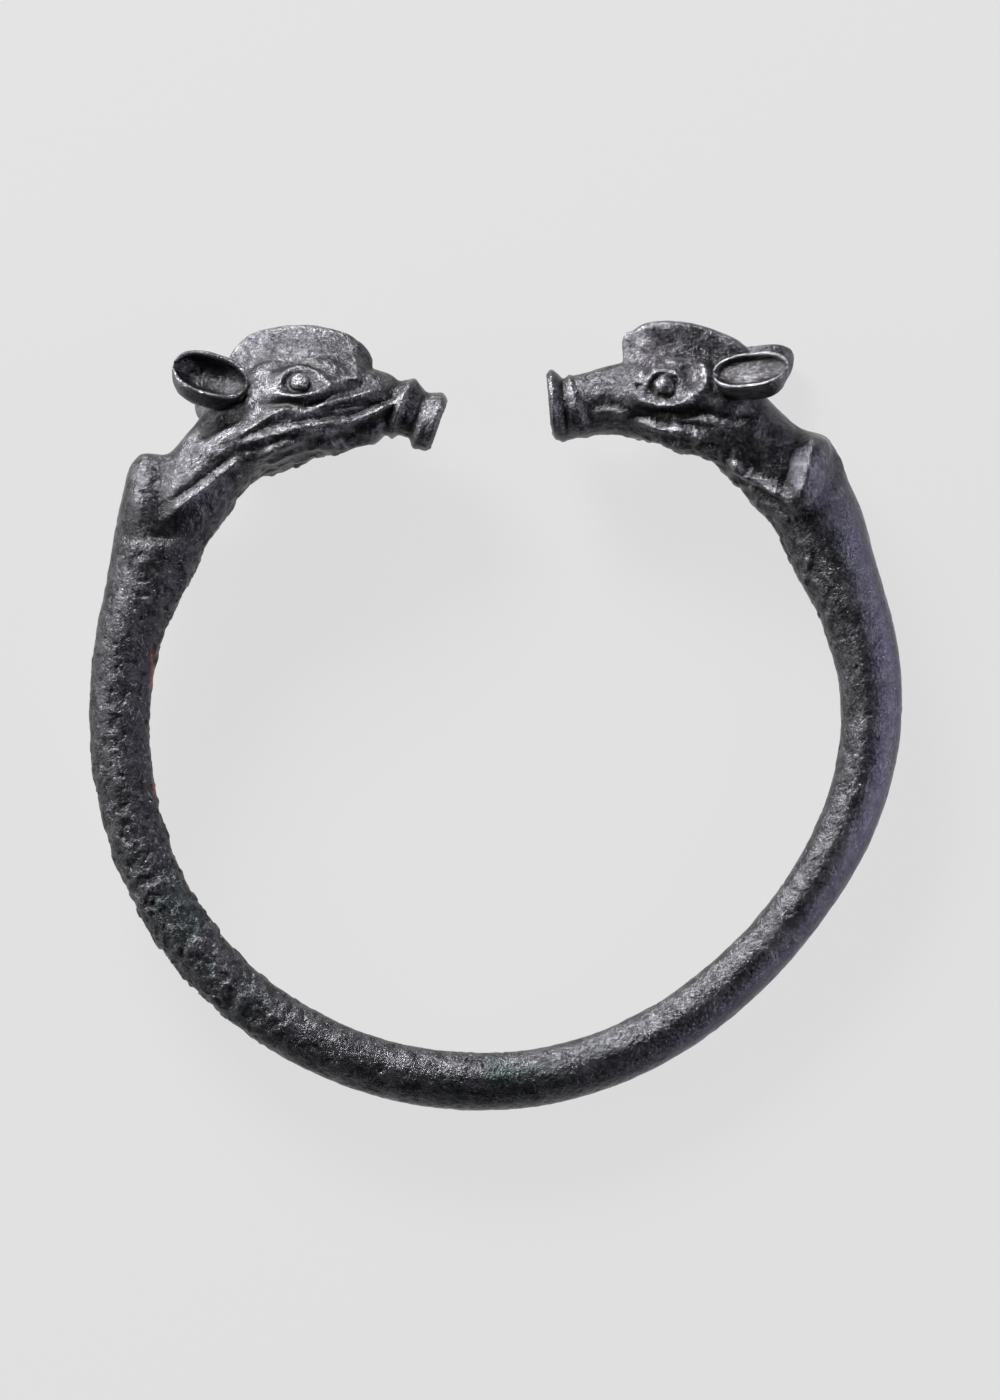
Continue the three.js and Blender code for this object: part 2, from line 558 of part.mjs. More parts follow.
// Everything joined, still in the hoop's own plane.
function bracelet() {
  let solid = casting();
  for (const head of [rightHead, leftHead]) {
    solid = solid.add(crest(head));
    for (const near of [1, -1]) {
      solid = solid.add(ear(head, near)).add(eye(head, near));
    }
  }
  return solid;
}

// Turn that brings the plane through the lowest points of the hoop's back and of both heads level.
function restTurn(points) {
  const groups = [
    points.filter((p) => p.y < -HOOP_RADIUS / 2),
    points.filter((p) => p.y > HOOP_RADIUS / 4 && p.x < 0),
    points.filter((p) => p.y > HOOP_RADIUS / 4 && p.x > 0),
  ];
  const up = new THREE.Vector3(0, 0, 1);
  for (let pass = 0; pass < 8; pass += 1) {
    const [a, b, c] = groups.map((group) => group.reduce(
      (low, p) => (p.dot(up) < low.dot(up) ? p : low),
    ));
    up.crossVectors(b.clone().sub(a), c.clone().sub(a)).normalize();
    if (up.z < 0) up.negate();
  }
  return new THREE.Quaternion().setFromUnitVectors(up, new THREE.Vector3(0, 0, 1));
}

// Lays the solid on its three spots, with the middle of its box over the origin, and wears them flat.
function layDown(solid) {
  const mesh = solid.getMesh();
  const geometry = new THREE.BufferGeometry();
  geometry.setAttribute('position', new THREE.Float32BufferAttribute(mesh.vertProperties, 3));
  geometry.setIndex([...mesh.triVerts]);
  const points = [];
  for (let i = 0; i < geometry.attributes.position.count; i += 1) {
    points.push(new THREE.Vector3().fromBufferAttribute(geometry.attributes.position, i));
  }
  geometry.applyQuaternion(restTurn(points));
  geometry.computeBoundingBox();
  const box = geometry.boundingBox;
  const middle = box.getCenter(new THREE.Vector3());
  geometry.translate(-middle.x, -middle.y, -box.min.z - REST_FLAT_DEPTH);
  const size = box.getSize(new THREE.Vector3());
  const below = new THREE.BoxGeometry(size.x * 2, size.y * 2, size.z);
  below.translate(0, 0, -size.z / 2);
  return solidOf(geometry).subtract(solidOf(below));
}

// Geometry of a finished solid, with flat facets.
function geometryOf(solid) {
  const mesh = solid.getMesh();
  const geometry = new THREE.BufferGeometry();
  geometry.setAttribute('position', new THREE.Float32BufferAttribute(mesh.vertProperties, 3));
  geometry.setIndex([...mesh.triVerts]);
  geometry.computeVertexNormals();
  return geometry;
}

const darkBronze = new THREE.MeshStandardMaterial({ color: 0x2b2a2f, roughness: 0.5, metalness: 0.7 });
const mesh = new THREE.Mesh(geometryOf(layDown(bracelet())), darkBronze);
mesh.name = 'bracelet';

const group = new THREE.Group();
group.add(mesh);

export default group;
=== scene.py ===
"""Dark bronze bracelet with two boar heads, as it is seen in a plain studio.

The bracelet is one casting. It is worked out in the hoop's own plane, in millimetres: x right, y
towards the heads, z towards the viewer. Each head follows its own middle line, t back from the
snout, with v towards the crest and l sideways. The shells of bar, heads, crests, ears and eyes are
fused to one skin, worn and pitted, laid down on the floor and measured in metres.
"""

from __future__ import annotations

import logging
import math
from dataclasses import dataclass
from enum import Enum

import bmesh
import bpy
import numpy as np
from mathutils import Matrix


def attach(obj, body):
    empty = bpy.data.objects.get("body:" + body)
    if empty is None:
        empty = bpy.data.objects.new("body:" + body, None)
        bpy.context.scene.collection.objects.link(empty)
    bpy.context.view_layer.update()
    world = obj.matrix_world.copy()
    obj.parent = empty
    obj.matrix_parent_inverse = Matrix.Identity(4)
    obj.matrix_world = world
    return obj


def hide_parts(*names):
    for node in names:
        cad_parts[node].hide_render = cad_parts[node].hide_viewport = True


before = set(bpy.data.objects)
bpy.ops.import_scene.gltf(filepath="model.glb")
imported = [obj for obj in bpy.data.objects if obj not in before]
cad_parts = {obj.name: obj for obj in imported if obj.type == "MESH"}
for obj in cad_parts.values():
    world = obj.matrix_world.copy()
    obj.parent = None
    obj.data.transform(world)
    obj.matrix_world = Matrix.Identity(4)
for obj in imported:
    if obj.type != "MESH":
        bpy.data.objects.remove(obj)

MILLIMETRE = 0.001  # in metres
NODE = "bracelet"
PIECE = "bracelet_casting"

Array = np.ndarray
Mesh = bpy.types.Mesh
Socket = bpy.types.NodeSocket
Place = tuple[float, float]
Span = tuple[float, float]
Point = tuple[float, float, float]
Colour = tuple[float, float, float]
Row = tuple[float, float, float, float, float]
log = logging.getLogger("bracelet")


def smooth(x: Array, low: float, high: float) -> Array:
    """Smooth step: 0 below low, 1 above high, 3u^2 - 2u^3 between.

    Args:
        x: values.
        low: where the step starts.
        high: where it ends.

    Returns:
        Shares from 0 to 1.
    """
    u = np.clip((x - low) / (high - low), 0.0, 1.0)
    return u * u * (3.0 - 2.0 * u)


def hump(x: Array, up: Span, down: Span) -> Array:
    """1 between a smooth step up and a smooth step down, 0 outside them."""
    return smooth(x, *up) * (1.0 - smooth(x, *down))


def bell(distance: Array, width: float) -> Array:
    """Bell curve exp(-(distance / width)^2)."""
    return np.exp(-((distance / width) ** 2))


def on_curve(keys: Array, values: Array, x: Array) -> Array:
    """Cubic Hermite curve through (keys, values), each slope that of the rows on both sides.

    Args:
        keys: increasing places.
        values: one value a place.
        x: where the curve is asked for.

    Returns:
        The curve's values at x.
    """
    last = len(keys) - 1
    before = np.maximum(np.arange(last + 1) - 1, 0)
    after = np.minimum(np.arange(last + 1) + 1, last)
    slopes = (values[after] - values[before]) / (keys[after] - keys[before])
    i = np.searchsorted(keys[1:-1], x, side="left")
    span = keys[i + 1] - keys[i]
    u = np.clip((x - keys[i]) / span, 0.0, 1.0)
    return (
        values[i] * (2 * u**3 - 3 * u**2 + 1)
        + slopes[i] * span * (u**3 - 2 * u**2 + u)
        + values[i + 1] * (3 * u**2 - 2 * u**3)
        + slopes[i + 1] * span * (u**3 - u**2)
    )


def unit(vectors: Array) -> Array:
    """Vectors of length one along the last axis."""
    return vectors / np.maximum(np.linalg.norm(vectors, axis=-1, keepdims=True), 1e-12)


def rounded_path(places: tuple[Place, ...], pieces: int = 6) -> Array:
    """Smooth path through given places: each coordinate on a curve over the path's own length.

    Args:
        places: two or more places.
        pieces: straight lengths between each two of them.

    Returns:
        Array of places, one a row.
    """
    marks = np.array(places, float)
    along = np.concatenate([[0.0], np.cumsum(np.linalg.norm(np.diff(marks, axis=0), axis=1))])
    if len(marks) == 2:
        return marks
    wanted = np.linspace(0.0, along[-1], pieces * (len(marks) - 1) + 1)
    return np.stack([on_curve(along, marks[:, k], wanted) for k in range(2)], axis=1)


def path_distance(
    points: Array, path: Array, reach: float
) -> tuple[Array, Array]:
    """Distance of points from a path of straight lengths; far points get twice the reach.

    Args:
        points: places, one a row.
        path: the path's places.
        reach: distances above this don't matter.

    Returns:
        One distance a point, and how far along the path its nearest place lies, from 0 to 1.
    """
    nearest = np.full(len(points), 2.0 * reach)
    along = np.zeros(len(points))
    low, high = path.min(axis=0) - reach, path.max(axis=0) + reach
    close = np.flatnonzero(np.all((points > low) & (points < high), axis=1))
    near, found, place = points[close], nearest[close], along[close]
    for i, (start, end) in enumerate(zip(path[:-1], path[1:])):
        way = end - start
        share = np.clip(((near - start) @ way) / max(way @ way, 1e-12), 0.0, 1.0)
        away = np.linalg.norm(near - start - share[:, None] * way, axis=1)
        place = np.where(away < found, (i + share) / (len(path) - 1), place)
        found = np.minimum(found, away)
    nearest[close], along[close] = found, place
    return nearest, along


def lattice_noise(points: Array, cell: float, seed: int) -> Array:
    """Value noise from -1 to 1: a hashed number at each corner of a lattice, blended smoothly.

    Args:
        points: places in space, one a row.
        cell: the lattice's spacing.
        seed: chooses the pattern.

    Returns:
        One value a point.
    """
    scaled = points / cell
    base = np.floor(scaled)
    share = scaled - base
    share = share * share * (3.0 - 2.0 * share)
    base = base.astype(np.int64)
    total = np.zeros(len(points))
    primes = np.array([73856093, 19349663, 83492791], np.int64)
    for corner in np.ndindex(2, 2, 2):
        step = np.array(corner)
        mixed = ((base + step) * primes).sum(axis=1) + seed * 2654435761
        mixed = (mixed ^ (mixed >> 13)) & 0xFFFFFFFF
        mixed = (mixed * 1274126177) & 0xFFFFFFFF
        mixed = (mixed ^ (mixed >> 16)) & 0xFFFF
        weight = np.prod(np.where(step == 1, share, 1.0 - share), axis=1)
        total += weight * (mixed / 32767.5 - 1.0)
    return total


@dataclass(frozen=True)
class Ring:
    """Ring round a snout: a rim, groove or fold.

    slant is how much further back it lies under the snout than over it.
    """

    t: float
    slant: float
    width: float
    height: float


@dataclass(frozen=True)
class Stroke:
    """A fold (+) or groove (-) of the carving, drawn in the front view through a few places.

    It keeps off the top and bottom lines of the head: its full height starts at full_at, a share of
    the head's half width.
    """

    name: str
    places: tuple[Place, ...]
    width: float
    height: float
    full_at: float = 0.3


@dataclass(frozen=True)
class EarSet:
    """Where a head's ears are rooted and how they stand.

    In degrees: rise from the neck, splay sideways, and how far the open side looks up. far_share
    is the far ear's length as a share of the near one's; hollow is the share of an ear's depth
    inside its wall that is hollowed out; belly is how far the shell sags; blunt is how square its
    ends are. The last four are shares of the ear's width, of its wall and of its depth.
    """

    t: float
    v: float
    l: float
    rise: float
    splay: float
    look_up: float
    far_share: float
    half_width: float
    hollow: float
    belly: float
    wall: float
    length: float = 7.7
    depth: float = 2.8
    tip_lift: float = 0.3
    blunt: float = 2.8
    end_width: float = 0.18
    most_wall: float = 0.55
    floor_thickness: float = 1.15
    least_hollow: float = 0.12


@dataclass(frozen=True)
class Bar:
    """The round bar of the hoop, bent by eye and unequally thick.

    Each row is degrees clockwise from the gap, how far the bar's middle lies outside the circle,
    and its thickness as a share of the whole bracelet's bar thickness.
    """

    hoop_radius: float = 37.6
    thickness: float = 5.7
    rows: tuple[Point, ...] = (
        (74, -0.65, 1.24),
        (90, -0.05, 1.08),
        (102, -0.2, 1.02),
        (125, -1.15, 0.95),
        (142, -1.15, 0.965),
        (180, 0.15, 1.01),
        (232, 1.0, 0.965),
        (270, 0.0, 1.06),
        (286, -0.45, 1.23),
    )

    def at(self, degrees: Array) -> tuple[Array, Array]:
        """The bar's middle and half thickness.

        Args:
            degrees: angles clockwise from the gap.

        Returns:
            Radius of the bar's middle, and half its thickness.
        """
        keys, off, share = np.array(self.rows, float).T
        radius = self.hoop_radius + on_curve(keys, off, degrees)
        return radius, 0.5 * self.thickness * on_curve(keys, share, degrees)

    def grid(self, degrees: Array, turn: Array) -> Array:
        """Surface of the bar: a circle of the bar's half thickness carried round the hoop.

        Args:
            degrees: angles along the hoop.
            turn: angles round the bar, from the outside over the viewer's side.

        Returns:
            Points, one row of the grid a section.
        """
        radius, half = self.at(degrees)
        outward = radius[:, None] + half[:, None] * np.cos(turn)
        angle = np.radians(degrees)[:, None]
        height = half[:, None] * np.sin(turn)
        return np.stack([outward * np.sin(angle), outward * np.cos(angle), height], axis=-1)


@dataclass
class BoarHead:
    """One head with its neck and shoulder, joined to the bar at its last section."""

    name: str
    side: int
    half_gap: float
    roll: float
    pitch: float
    core: tuple[Row, ...]
    rings: tuple[Ring, ...]
    strokes: tuple[Stroke, ...]
    crest: tuple[Place, ...]
    eye: Place
    ears: EarSet
    bar: Bar
    length: float = 42.0
    eye_radius: float = 0.98
    eye_rise: float = 0.45
    nostril_radius: float = 0.62
    nostril_depth: float = 0.55
    snout_lip: float = 0.75
    snout_dish: float = 0.35
    crest_foot: float = 2.0
    crest_foot_half: float = 3.2
    crest_top_half: float = 0.75
    crest_flare: float = 2.2
    crest_rise: float = 1.6
    crest_fall: float = 2.0
    crest_end_share: float = 0.55
    crest_body_share: float = 0.45
    roll_fades_from: float = 30.0
    pitch_fades: Span = (1.0, 5.5)
    carved_until: float = 36.0
    lip_at: float = 1.9
    lip_width: float = 0.8
    stroke_start: Span = (-0.1, 0.25)
    stroke_end: Span = (0.75, 1.1)
    bare_share: float = 0.02
    chisel_cell: float = 1.6
    chisel_seed: int = 31
    chisel_share: float = 0.35
    socket_depth: float = 0.3
    socket_width: float = 0.4
    socket_top: float = 3.0
    throat_from: Span = (11.0, 15.0)
    throat_to: Span = (19.0, 24.0)
    throat_depth: float = 0.8
    throat_half_width: float = 1.7
    jaw_from: Span = (9.0, 15.0)
    jaw_to: Span = (19.0, 25.0)
    jaw_boxiness: float = 0.8

    def __post_init__(self) -> None:
        """Finds the snout's angle and adds the bar's own section as the core's last row."""
        radius = self.bar.hoop_radius + self.core[0][1]
        self.snout_angle = math.asin(self.half_gap / radius)
        self.joint_degrees = math.degrees(self.snout_angle + self.length / self.bar.hoop_radius)
        place = self.joint_degrees if self.side > 0 else 360.0 - self.joint_degrees
        middle, half = self.bar.at(np.array([place]))
        off, thick = middle[0] - self.bar.hoop_radius, half[0]
        rows = [*self.core, (self.length, off, thick, thick, thick)]
        self.keys, self.off, self.up, self.down, self.half = np.array(rows, float).T

    def middle(self, t: Array) -> Array:
        """Middle line in the hoop's plane: angle grows with t, radius follows the core's rows."""
        angle = self.snout_angle + t / self.bar.hoop_radius
        radius = self.bar.hoop_radius + on_curve(self.keys, self.off, t)
        x, y = self.side * radius * np.sin(angle), radius * np.cos(angle)
        return np.stack([x, y, np.zeros_like(x)], axis=-1)

    def axes(self, t: Array) -> tuple[Array, Array, Array, Array]:
        """Axes of the sections at t.

        Args:
            t: places along the head.

        Returns:
            Back along the neck, towards the crest, sideways to the viewer, and how far a section
            leans forward for each millimetre above the middle line.
        """
        reach = 0.4
        ahead = self.middle(np.minimum(t + reach, self.length))
        back = unit(ahead - self.middle(np.maximum(t - reach, 0.0)))
        out = self.side * np.stack([-back[..., 1], back[..., 0], np.zeros_like(t)], axis=-1)
        lean = math.radians(self.roll) * (1.0 - smooth(t, self.roll_fades_from, self.length))
        viewer = np.array([0.0, 0.0, 1.0])
        cosine, sine = np.cos(lean)[..., None], np.sin(lean)[..., None]
        crest = out * cosine + viewer * sine
        sideways = viewer * cosine - out * sine
        forward = math.tan(math.radians(self.pitch)) * (1.0 - smooth(t, *self.pitch_fades))
        return back, crest, sideways, forward

    def place(self, t: Array, v: Array, l: Array) -> Array:
        """Point of space at (t, v, l): middle + v crest + l sideways - forward v back."""
        back, crest, sideways, forward = self.axes(t)
        raised = self.middle(t) + crest * v[..., None] + sideways * l[..., None]
        return raised - back * (forward * v)[..., None]

    def carving(self, t: Array, v: Array, l: Array, turn: Array) -> Array:
        """Height of the carving: a bell across each ring and stroke, the eye socket and the throat.

        Both sides of the head carry the strokes as they are seen in the front view. A stroke fades
        out to both of its ends and is cut unevenly.

        Args:
            t: places along the head, as a grid.
            v: heights towards the crest.
            l: sideways distances.
            turn: angle round the section.

        Returns:
            How far each point is lifted out of the plain core.
        """
        lift = np.zeros_like(t)
        for ring in self.rings:
            place = ring.t + ring.slant * (1.0 - np.cos(turn)) / 2.0
            lift += ring.height * bell(t - place, ring.width)
        lip = self.snout_lip * bell(t - self.lip_at, self.lip_width)
        lift += lip * np.maximum(0.0, -np.cos(turn)) ** 3
        front = self.place(t, v, np.abs(l))[..., :2].reshape(-1, 2)
        aside = (np.abs(l) / np.maximum(self.size(self.half, t), 0.1)).reshape(-1)
        drawn = np.zeros(len(front))
        for stroke in self.strokes:
            path = rounded_path(stroke.places)
            away, along = path_distance(front, path, 3 * stroke.width)
            fade = hump(along, self.stroke_start, self.stroke_end)
            flank = smooth(aside, self.bare_share, stroke.full_at)
            drawn += stroke.height * fade * flank * bell(away, stroke.width)
        flat = np.column_stack([front, np.zeros(len(front))])
        uneven = lattice_noise(flat, self.chisel_cell, self.chisel_seed)
        lift += (drawn * (1.0 + self.chisel_share * uneven)).reshape(t.shape)
        from_eye = np.hypot(t - self.eye[0], v - self.eye[1])
        socket = self.socket_depth * bell(from_eye - self.eye_radius, self.socket_width)
        lift -= socket * (v < self.eye[1] + self.socket_top)
        throat = self.throat_depth * hump(t, self.throat_from, self.throat_to)
        lift -= np.where(v < 0, throat * bell(l, self.throat_half_width), 0.0)
        return lift * (1.0 - smooth(t, self.carved_until, self.length))

    def size(self, column: Array, t: Array) -> Array:
        """One half size of the core at t."""
        return on_curve(self.keys, column, t)

    def core_grid(self, t: Array, turn: Array) -> Array:
        """Carved surface of the head's core.

        Over the middle line a section is half an ellipse; under it, a boxier half from t 9 to 25,
        as a jaw is. The edge of the snout disc is rounded over.

        Args:
            t: places of the sections.
            turn: angles round a section.

        Returns:
            Points, one row of the grid a section.
        """
        t_grid, turn_grid = np.meshgrid(t, turn, indexing="ij")
        edge = 1.0 - 0.1 * (1.0 - smooth(t_grid, -0.2, 0.45))
        c, s = np.cos(turn_grid), np.sin(turn_grid)
        up, down = self.size(self.up, t_grid) * edge, self.size(self.down, t_grid) * edge
        half = self.size(self.half, t_grid) * edge
        jaw = self.jaw_boxiness * smooth(t_grid, *self.jaw_from)
        square = 2.0 + jaw * (1.0 - smooth(t_grid, *self.jaw_to))
        power = np.where(c > 0, 1.0, 2.0 / square)
        height = np.where(c > 0, up, down)
        v = height * np.sign(c) * np.abs(c) ** power
        l = half * np.sign(s) * np.abs(s) ** power
        lift = self.carving(t_grid, v, l, turn_grid)
        across, sideways = c / height, s / half
        length = np.hypot(across, sideways)
        return self.place(t_grid, v + across / length * lift, l + sideways / length * lift)

    def snout_grid(self, rim: Array, shares: Array) -> Array:
        """Dished snout disc with two nostrils: its rim drawn in towards its middle.

        Args:
            rim: points of the disc's edge.
            shares: how far out each ring lies, from the rim inwards.

        Returns:
            Points of the rings.
        """
        back, crest, sideways, _ = (part[0] for part in self.axes(np.zeros(1)))
        centre = rim.mean(axis=0)
        inner = centre + (rim - centre)[None] * shares[:, None, None]
        offset = inner - centre
        v, l = offset @ crest, offset @ sideways
        reach = self.half[0] * 0.42
        nostril = bell(np.hypot(np.abs(l) - reach, v), self.nostril_radius)
        depth = self.snout_dish * (1.0 - shares[:, None] ** 2) + self.nostril_depth * nostril
        return inner + depth[..., None] * back

    def crest_shell(self) -> Array:
        """Crest as a fin: its section flares to its foot and is rounded at its top."""
        rows = np.array(self.crest, float)
        t = np.linspace(rows[0, 0], rows[-1, 0], 110)
        top = on_curve(rows[:, 0], rows[:, 1], t)
        start, end = (t[0], t[0] + self.crest_rise), (t[-1] - self.crest_fall, t[-1])
        thin = self.crest_end_share + self.crest_body_share * hump(t, start, end)
        around = np.linspace(-1.0, 1.0, 61)
        share = 1.0 - np.abs(around)
        rounding = np.sqrt(np.clip(1.0 - np.clip((share - 0.8) / 0.2, 0.0, 1.0) ** 2, 0.0, 1.0))
        flare = (self.crest_foot_half - self.crest_top_half) * (1.0 - share) ** self.crest_flare
        half = self.crest_top_half + flare
        l = np.sign(around) * half * rounding * thin[:, None]
        v = self.crest_foot + (top[:, None] - self.crest_foot) * np.sin(share * math.pi / 2)
        t_grid = np.repeat(t[:, None], len(around), axis=1)
        return self.place(t_grid, v, l)

    def ear_shell(self, near: int) -> Array:
        """Ear as an open cup: a crescent section that narrows to both ends of the ear.

        Args:
            near: 1 for the viewer's side, -1 for the far side.

        Returns:
            Points, one row of the grid a section.
        """
        set_ = self.ears
        here = np.array([set_.t])
        back, crest, sideways, _ = (part[0] for part in self.axes(here))
        sideways = sideways * near
        root = self.middle(here)[0] + crest * set_.v + sideways * set_.l
        rise, splay, up = np.radians([set_.rise, set_.splay, set_.look_up])
        axis = back * np.cos(rise) * np.cos(splay)
        axis = axis + crest * np.sin(rise) * np.cos(splay) + sideways * np.sin(splay)
        mouth = unit(sideways - axis * (sideways @ axis))
        across = np.cross(mouth, axis)
        across = across if across @ crest > 0 else -across
        tip = mouth * np.cos(up) + across * np.sin(up)
        wide = across * np.cos(up) - mouth * np.sin(up)
        along = -np.cos(np.linspace(0.0, math.pi, 70))[:, None]
        closing = np.clip(1.0 - np.abs(along) ** set_.blunt, 0.0, 1.0)
        spread = np.maximum(set_.end_width, np.sqrt(closing))
        share = (along + 1.0) / 2.0
        length = set_.length * (1.0 if near > 0 else set_.far_share)
        middle = root + axis * (length * share)[..., None]
        middle = middle + wide * (set_.tip_lift * share**2)[..., None]
        width, depth = set_.half_width * spread, set_.depth * spread
        wall = np.minimum(set_.wall, width * set_.most_wall)
        inside = np.maximum(depth - wall * set_.floor_thickness, depth * set_.least_hollow)
        hollow = set_.hollow * inside
        outer_turn = np.linspace(0.0, math.pi, 40)[None]
        inner_turn = np.linspace(math.pi, 0.0, 34)[None]
        rim_turn = np.linspace(0.0, math.pi, 9)[None, 1:-1]
        sag = set_.belly * spread * np.sin(outer_turn) ** 2
        rim = width - wall / 2.0
        rise_of_rim = 0.5 * wall * np.sin(rim_turn)
        flat = [
            width * np.cos(outer_turn) - sag,
            -rim - 0.5 * wall * np.cos(rim_turn),
            (width - wall) * np.cos(inner_turn),
            rim - 0.5 * wall * np.cos(rim_turn),
        ]
        deep = [
            -depth * np.sin(outer_turn),
            rise_of_rim,
            -hollow * np.sin(inner_turn),
            rise_of_rim,
        ]
        flat, deep = np.concatenate(flat, axis=1), np.concatenate(deep, axis=1)
        return middle + wide * flat[..., None] + tip * deep[..., None]

    def eye_shell(self, near: int) -> Array:
        """Eye as a low boss: a sphere flattened along the core's own outward direction.

        Args:
            near: 1 for the viewer's side, -1 for the far side.

        Returns:
            Points, one row of the grid a circle of the sphere.
        """
        t, v = (np.array([value]) for value in self.eye)
        up, half = self.size(self.up, t), self.size(self.half, t)
        l = half * np.sqrt(1.0 - (v / up) ** 2)
        centre = self.place(t, v, near * l)[0]
        back, crest, sideways, _ = (part[0] for part in self.axes(t))
        outward = unit(crest * (v / up**2) + sideways * (near * l / half**2))
        upward = unit(np.cross(outward, back))
        tilt = np.linspace(0.0, math.pi, 24)[:, None]
        turn = np.linspace(0.0, 2.0 * math.pi, 48, endpoint=False)[None]
        wide = self.eye_radius * np.sin(tilt)
        ball = back * (wide * np.cos(turn))[..., None] + upward * (wide * np.sin(turn))[..., None]
        high = (self.eye_rise * np.cos(tilt) * np.ones_like(turn))[..., None]
        return centre + ball + outward * high


RIGHT_CORE: tuple[Row, ...] = (
    (0, -7.14, 3.1, 3.15, 3.0),
    (3, -7.01, 3.15, 2.9, 2.85),
    (5, -6.22, 3.3, 3.1, 2.75),
    (7, -5.28, 3.55, 3.35, 2.9),
    (9, -4.39, 3.9, 3.76, 3.3),
    (12, -3.19, 4.75, 4.16, 3.9),
    (15, -2.18, 5.3, 4.68, 4.2),
    (18, -1.33, 5.1, 4.6, 4.2),
    (21, -0.78, 4.1, 4.4, 4.0),
    (23, -0.7, 3.9, 4.5, 3.85),
    (25, -0.61, 4.1, 4.4, 3.8),
    (27.3, -0.46, 5.25, 4.5, 4.0),
    (29, -0.31, 5.15, 4.5, 4.1),
    (31, -0.31, 4.5, 4.3, 4.0),
    (34, -0.53, 4.3, 4.2, 3.75),
    (38, -0.87, 3.9, 3.95, 3.5),
)
LEFT_CORE: tuple[Row, ...] = (
    (0, -8.95, 2.4, 2.9, 2.8),
    (3, -7.16, 2.75, 2.75, 2.6),
    (5, -6.3, 3.1, 2.65, 2.7),
    (7, -5.58, 3.8, 3.7, 2.9),
    (9, -4.88, 4.2, 4.1, 3.2),
    (12, -3.74, 5.0, 4.7, 3.8),
    (15, -2.45, 5.6, 5.13, 4.2),
    (18, -1.51, 5.6, 5.1, 4.3),
    (19.5, -1.2, 5.4, 5.0, 4.25),
    (21, -0.96, 5.0, 4.4, 4.1),
    (23, -0.72, 4.5, 4.0, 3.9),
    (25, -0.46, 4.1, 4.2, 3.8),
    (27.2, -0.25, 3.95, 4.5, 3.9),
    (29, -0.15, 5.65, 4.7, 4.2),
    (31, -0.08, 5.7, 4.6, 4.3),
    (33, -0.08, 5.15, 4.5, 4.1),
    (35, -0.17, 4.6, 4.45, 3.9),
    (38, -0.37, 3.95, 4.15, 3.55),
)
RIGHT_STROKES: tuple[Stroke, ...] = (
    Stroke("crease over the brow", ((12.3, 33.3), (14, 34), (15.5, 34.8), (18, 35.1), (23, 34.9)),
           0.42, -0.16),
    Stroke("brow", ((12.5, 32.8), (15, 34.2), (18, 34.4), (20, 34)), 0.6, 0.2),
    Stroke("upper lid", ((14.9, 31.5), (15.4, 32.6), (16.5, 33.1), (18.5, 32.6)), 0.34, 0.34),
    Stroke("eye corner groove", ((13.9, 31.2), (14.7, 32.6), (15.7, 33.5)), 0.3, -0.22),
    Stroke("lower lid", ((13.9, 30.9), (14.8, 30.1), (17, 29.7), (18.5, 29.9), (20.2, 31.1)),
           0.42, 0.55),
    Stroke("fold before the ear", ((20.6, 34.2), (20.9, 32.6), (20.8, 31.2)), 0.4, 0.36),
    Stroke("hollow behind the eye", ((18.9, 34.0), (19.3, 32.5), (19.1, 31.0)), 0.75, -0.32),
    Stroke("cheek groove", ((22.5, 29.0), (20, 28.9), (17, 28.9), (14, 29.5)), 0.6, -0.4),
    Stroke("lip fold", ((9.5, 28.9), (11.5, 29.2), (13.4, 28.7)), 0.42, 0.38),
    Stroke("mouth", ((12.6, 28.7), (15, 28.5), (17, 28), (21, 27.6)), 0.32, -0.38),
    Stroke("lower lip", ((13.6, 28.4), (17, 27.4), (19, 26.9), (21.8, 26.4)), 0.4, 0.42),
    Stroke("jaw edge", ((14, 27.2), (17, 26.2), (20, 25.3)), 0.6, 0.3),
    Stroke("neck fold under the ear", ((21.6, 28.7), (23.5, 28.4), (25.4, 28.7)), 0.5, -0.3),
    Stroke("neck edge", ((22.6, 24.6), (26, 22.4), (28.5, 20.9), (30.4, 19.2)), 0.5, 0.7),
    Stroke("groove under the neck edge", ((23.4, 23.1), (26.4, 21.2), (29, 19.2)), 0.6, -0.35),
    Stroke("collar groove", ((30.6, 27.8), (29.6, 24.4), (28.9, 21.8), (28.9, 19.6)), 0.6, -0.25),
    Stroke("shoulder", ((32.9, 28.0), (31.7, 24.8), (30.8, 21.8), (30.2, 19.4)), 1.35, 1.15, 0.75),
    Stroke("back of the shoulder", ((34.6, 26.0), (33.8, 23.4), (32.8, 20.6)), 0.9, -0.3),
)
